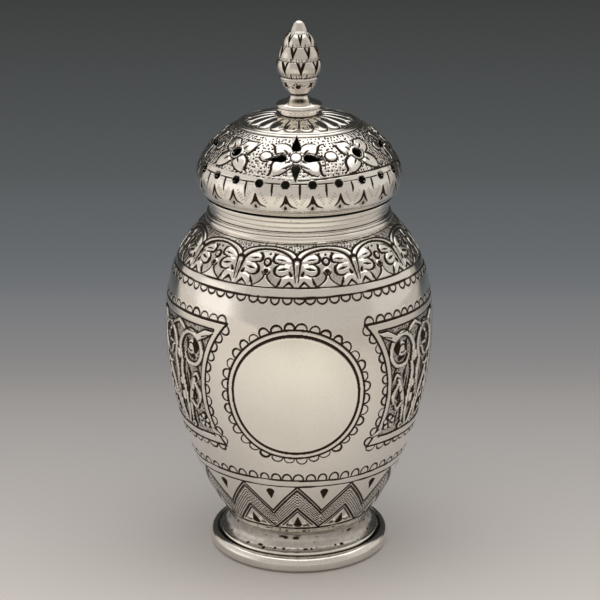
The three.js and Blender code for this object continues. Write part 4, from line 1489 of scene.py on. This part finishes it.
def make_cup():
    base, ring_base = STEM_TOP + SOLDER, CUP_TOP - 0.62
    swelling = (0.81 * CUP_RADIUS, base + 1.12)
    bowl = curve([(STEM_WAIST + 0.1, base), swelling, (CUP_RADIUS - 0.17, ring_base)], 60)
    band = arc(CUP_RADIUS - 0.3, (ring_base + CUP_TOP) / 2, 0.3, 0.3, -70, 80, 14)
    sheet = Sheet(joined(bowl, band), CUP_COLUMNS, 0.06)
    for turn in (-3, 87, 177, 267):
        pen = Pen(sheet, turn, base + 1.3)
        pen.dot(*pen.at([(0, ring_base - 1.0)])[0], 0.36, 0.18, 1.0)
        for side in (-1, 1):
            mark = Pen(sheet, turn + side * 42, base + 1.3)
            leaf = [(side * d, ring_base - h) for d, h in ((7, 0.35), (0, 0.9), (-5, 1.3))]
            mark.cut(mark.at(leaf), [0.24, 0.42, 0.1], 0.12)
            for k in range(5):
                across = side * (5 + 4 * k + jitter(0.8))
                spot = pen.at([(across, ring_base - 0.5 - 0.12 * k + jitter(0.16))])
                pen.dot(*spot[0], 0.07 + abs(jitter(0.04)), 0.05, 0.75)
    band_line(sheet, ring_base - 0.02, 0.14, 0.06, 0.01, 0.5)
    dark_foot = 0.95 * hump(sheet.height, base, 0.36)[:, None]
    stain = np.clip(np.maximum(sheet.stain, dark_foot), 0.2, 1)
    top = joined((CUP_RADIUS - 0.5, CUP_TOP), (PIN_BORE, CUP_TOP), (PIN_BORE, base))
    outer = rings_of(sheet.outline, CUP_COLUMNS, relief(sheet))
    rings = np.concatenate([outer, rings_of(top, CUP_COLUMNS)])
    stain = np.concatenate([stain, np.full((len(top), CUP_COLUMNS), 0.85)])
    made = skin("finial_calyx", rings, stain, 60)
    finish_piece(made, CAST, "cover", "cast_silver", "finial_cup")


# The bud's side, as its height's share and the radius, then its scales
BUD_SIDE = [
    (0, 3.9), (0.1, 4.25), (0.2, 4.36), (0.3, 4.22), (0.425, 3.84), (0.56, 3.32), (0.715, 2.66),
    (0.77, 2.16), (0.82, 1.62), (0.9, 1.24), (0.96, 0.92), (0.99, 0.5), (1, 0),
]
BUD_TIERS = 3
BUD_SCALES = 8
BUD_TURN = 5
BUD_LEDGES = (0.0, 0.292, 0.545, 0.764)
BUD_RELIEF = 0.58
BUD_BORE = 2.4


def make_bud():
    base, tall = CUP_TOP + SOLDER, TIP - CUP_TOP - SOLDER
    share = np.linspace(0, 1, BUD_ROWS)[:-1] ** 0.96
    azimuth = 2 * math.pi * np.arange(BUD_COLUMNS) / BUD_COLUMNS
    s, a = np.meshgrid(share, azimuth, indexing="ij")
    tier = np.minimum(np.interp(s, BUD_LEDGES, range(BUD_TIERS + 1)), BUD_TIERS - 1e-4)
    index = np.floor(tier)
    rise = tier - index
    turns = (a - math.radians(BUD_TURN)) * BUD_SCALES / (2 * math.pi) + ((index + 1) % 2) / 2
    off_centre = np.abs(turns - np.round(turns)) * 2
    up = np.maximum(rise - 0.2, 0) / 0.8
    half_width = 1 - 0.5 * up**1.25
    scale = ramp(half_width - off_centre, -0.03, 0.05)
    pillow = 0.16 * np.clip(off_centre / half_width, 0, 1) ** 2.5
    behind = 0.2 + 0.32 * up
    bulge = 0.5 + 0.5 * np.sin(math.pi / 2 * np.minimum(rise / 0.62, 1))
    bulge = bulge - 0.14 * ramp(rise, 0.62, 1.0)
    lift = scale * (bulge - pillow) + (1 - scale) * behind
    into_gap = off_centre - half_width
    stroke = ramp(into_gap, -0.09, -0.03) * ramp(into_gap, 0.34, 0.24) * (up > 0)
    ticks = np.sin(a * 61 + 2 * np.sin(a * 7)) * np.sin(a * 23 + 1)
    hatch = 0.8 * ramp(np.abs(np.sin(17 * a + np.sin(9 * a))), 0.5, 0.2) * ramp(rise, 0.36, 0.24)
    # Painted shadow along the foot of each tier, under the lip above, with darker hatch ticks in it
    ledge_shadow_and_ticks = np.maximum(ramp(rise, 0.13, 0.03) * (0.45 + 0.5 * (ticks > 0.1)), hatch)
    last = BUD_LEDGES[-1]
    lift = np.where(s >= last, 0.72 + 0.28 * ramp(s, last, last + 0.03), lift)
    tip_ring = hump(s, last + 0.035, 0.018) * (ticks > 0.15) * 0.9
    dark = np.maximum(np.where(s >= last, tip_ring, np.maximum(stroke, ledge_shadow_and_ticks)), 0.22)
    radius = np.interp(s, *smooth(BUD_SIDE, 12).T)
    radius = radius - BUD_RELIEF * (1 - lift) * ramp(radius, 0.3, 1.5)
    height = base + s * tall
    points = np.stack([radius * np.sin(a), -radius * np.cos(a), height], 2)
    bore = joined((PIN_BORE, base + BUD_BORE), (PIN_BORE, base))
    rings = np.concatenate([rings_of(bore, BUD_COLUMNS), points])
    stain = np.concatenate([np.full((2, BUD_COLUMNS), 0.6), np.clip(dark, 0, 1)])
    run = distances(joined(bore, np.stack([radius[:, 0], height[:, 0]], 1)))
    made = skin("finial_pineapple", rings, stain, 0, (base + BUD_BORE, TIP), run)
    finish_piece(made, CAST, "cover", "cast_silver", "finial_bud")


# Studio

# The sweep's colours from front to back, as (y, colour), painted as light falloff: brightest just
# before the pot, darker towards the far front and far darker behind; and the tones of its sides
SWEEP_FALLOFF_STOPS = [
    (-0.6, (0.60, 0.57, 0.53)),
    (-0.25, (0.85, 0.82, 0.75)),
    (-0.12, (0.92, 0.885, 0.81)),
    (-0.02, (0.655, 0.63, 0.61)),
    (0.08, (0.36, 0.352, 0.355)),
    (0.16, (0.19, 0.205, 0.225)),
    (0.28, (0.112, 0.124, 0.134)),
    (0.6, (0.062, 0.068, 0.07)),
]
SIDE_TONES = ((0.80, 0.76, 0.71), (0.58, 0.55, 0.52))


def sweep_paper():
    """A plain paper sweep, pale at the sides; its painted light falloff makes it pale at the front
    and darker behind.
    """
    material = bpy.data.materials.new("sweep paper")
    tree = Nodes(material, "Object")
    shader = tree.nodes["Principled BSDF"]
    shader.inputs["Roughness"].default_value = 0.9
    shader.inputs["Specular IOR Level"].default_value = 0.1
    x, y, _ = tree.split()
    first, last = SWEEP_FALLOFF_STOPS[0][0], SWEEP_FALLOFF_STOPS[-1][0]
    # Painted light falloff along y
    painted_falloff = tree.made("ValToRGB", {"Fac": tree.mapped(y, first, last)})
    painted_falloff.color_ramp.interpolation = "CARDINAL"
    for _ in SWEEP_FALLOFF_STOPS[2:]:
        painted_falloff.color_ramp.elements.new(0.5)
    for element, (place, colour) in zip(painted_falloff.color_ramp.elements, SWEEP_FALLOFF_STOPS):
        element.position = (place - first) / (last - first)
        element.color = (*colour, 1)
    far_out = tree.maths("MAXIMUM", x, tree.maths("MULTIPLY", x, -1.0))
    aside = tree.maths("SUBTRACT", far_out, tree.maths("MAXIMUM", y, 0.0))
    sides = tree.mixed(tree.soft_step(x, -0.05, 0.05), *SIDE_TONES)
    colour = tree.mixed(tree.soft_step(aside, 0.035, 0.2), painted_falloff.outputs["Color"], sides)
    tree.put(shader.inputs["Base Color"], colour)
    return material


def make_stage():
    a = np.linspace(0, math.pi / 2, 24)
    bend = np.stack([0.62 + 0.5 * np.sin(a), 0.5 - 0.5 * np.cos(a)], 1)
    section = [(-0.9, 0.0), (-0.3, 0.0), (0.2, 0.0), *bend, (1.12, 1.15)]
    points = [(x, y, z) for y, z in section for x in (-1.6, 1.6)]
    faces = [(2 * i, 2 * i + 1, 2 * i + 3, 2 * i + 2) for i in range(len(section) - 1)]
    mesh = bpy.data.meshes.new("sweep")
    mesh.from_pydata(points, [], faces)
    mesh.shade_smooth()
    sweep = added("sweep", mesh)
    mesh.materials.append(sweep_paper())


# The tent's tones at the horizon and overhead, then panels in it: degrees round from the front,
# degrees up, half width of the soft edge, and colour. ALL_ROUND leaves an edge out
ALL_ROUND = 180
TENT_TONES = ((0.55, 0.515, 0.48), (0.56, 0.525, 0.49))
PALE_TOP, DARK_BACK = (1.5, 1.48, 1.44), (0.06, 0.062, 0.07)
PANELS = [
    ((-180, -52), (-180, 180), 8, (0.72, 0.68, 0.64)),
    ((-99, -62), (-180, 20), 7, (1.05, 1.0, 0.94)),
    ((66, 180), (-180, 180), 9, (0.67, 0.64, 0.60)),
    ((-180, -143), (-180, 41), 5, DARK_BACK),
    ((146, 180), (-180, 41), 5, DARK_BACK),
    ((-180, 180), (58, 180), 6, PALE_TOP),
    ((-180, -102), (47, 180), 5, PALE_TOP),
    ((82, 180), (47, 180), 5, PALE_TOP),
]


def make_light():
    """A light tent: a bright top, pale panels at the sides, and dark behind the pot."""
    world = bpy.data.worlds.new("studio")
    bpy.context.scene.world = world
    tree = Nodes(world, "Generated")
    x, y, z = tree.split()
    turn = tree.maths("DEGREES", tree.maths("ARCTAN2", x, tree.maths("MULTIPLY", y, -1.0)))
    rise = tree.maths("DEGREES", tree.maths("ARCSINE", z))
    tent = tree.made("ValToRGB", {"Fac": z})
    for element, tone in zip(tent.color_ramp.elements, TENT_TONES):
        element.color = (*tone, 1)
    total = tent.outputs["Color"]
    for turns, rises, soft, colour in PANELS:
        mask = 1.0
        for value, (start, end) in ((turn, turns), (rise, rises)):
            if start > -ALL_ROUND:
                step = tree.soft_step(value, start - soft, start + soft)
                mask = tree.maths("MULTIPLY", mask, step)
            if end < ALL_ROUND:
                mask = tree.maths("MULTIPLY", mask, tree.soft_step(value, end + soft, end - soft))
        total = tree.mixed(mask, total, colour)
    tree.put(tree.nodes["Background"].inputs["Color"], total)


CAMERA_PLACE = (0.000184, -0.387, 0.1784)
CAMERA_PITCH = 18.34
LENS, SENSOR = 126, 36


def make_camera():
    data = bpy.data.cameras.new("camera")
    data.lens = LENS
    data.sensor_width = SENSOR
    data.sensor_fit = "HORIZONTAL"
    data.clip_start, data.clip_end = 0.01, 20
    made = added("camera", data)
    made.location = CAMERA_PLACE
    made.rotation_euler = (math.radians(90 - CAMERA_PITCH), 0, 0)
    bpy.context.scene.camera = made
    bpy.context.scene.view_settings.view_transform = "Standard"


make_foot()
make_body()
make_neck()
make_dome()
make_rim()
make_finial()
make_cup()
make_bud()
make_stage()
make_light()
make_camera()
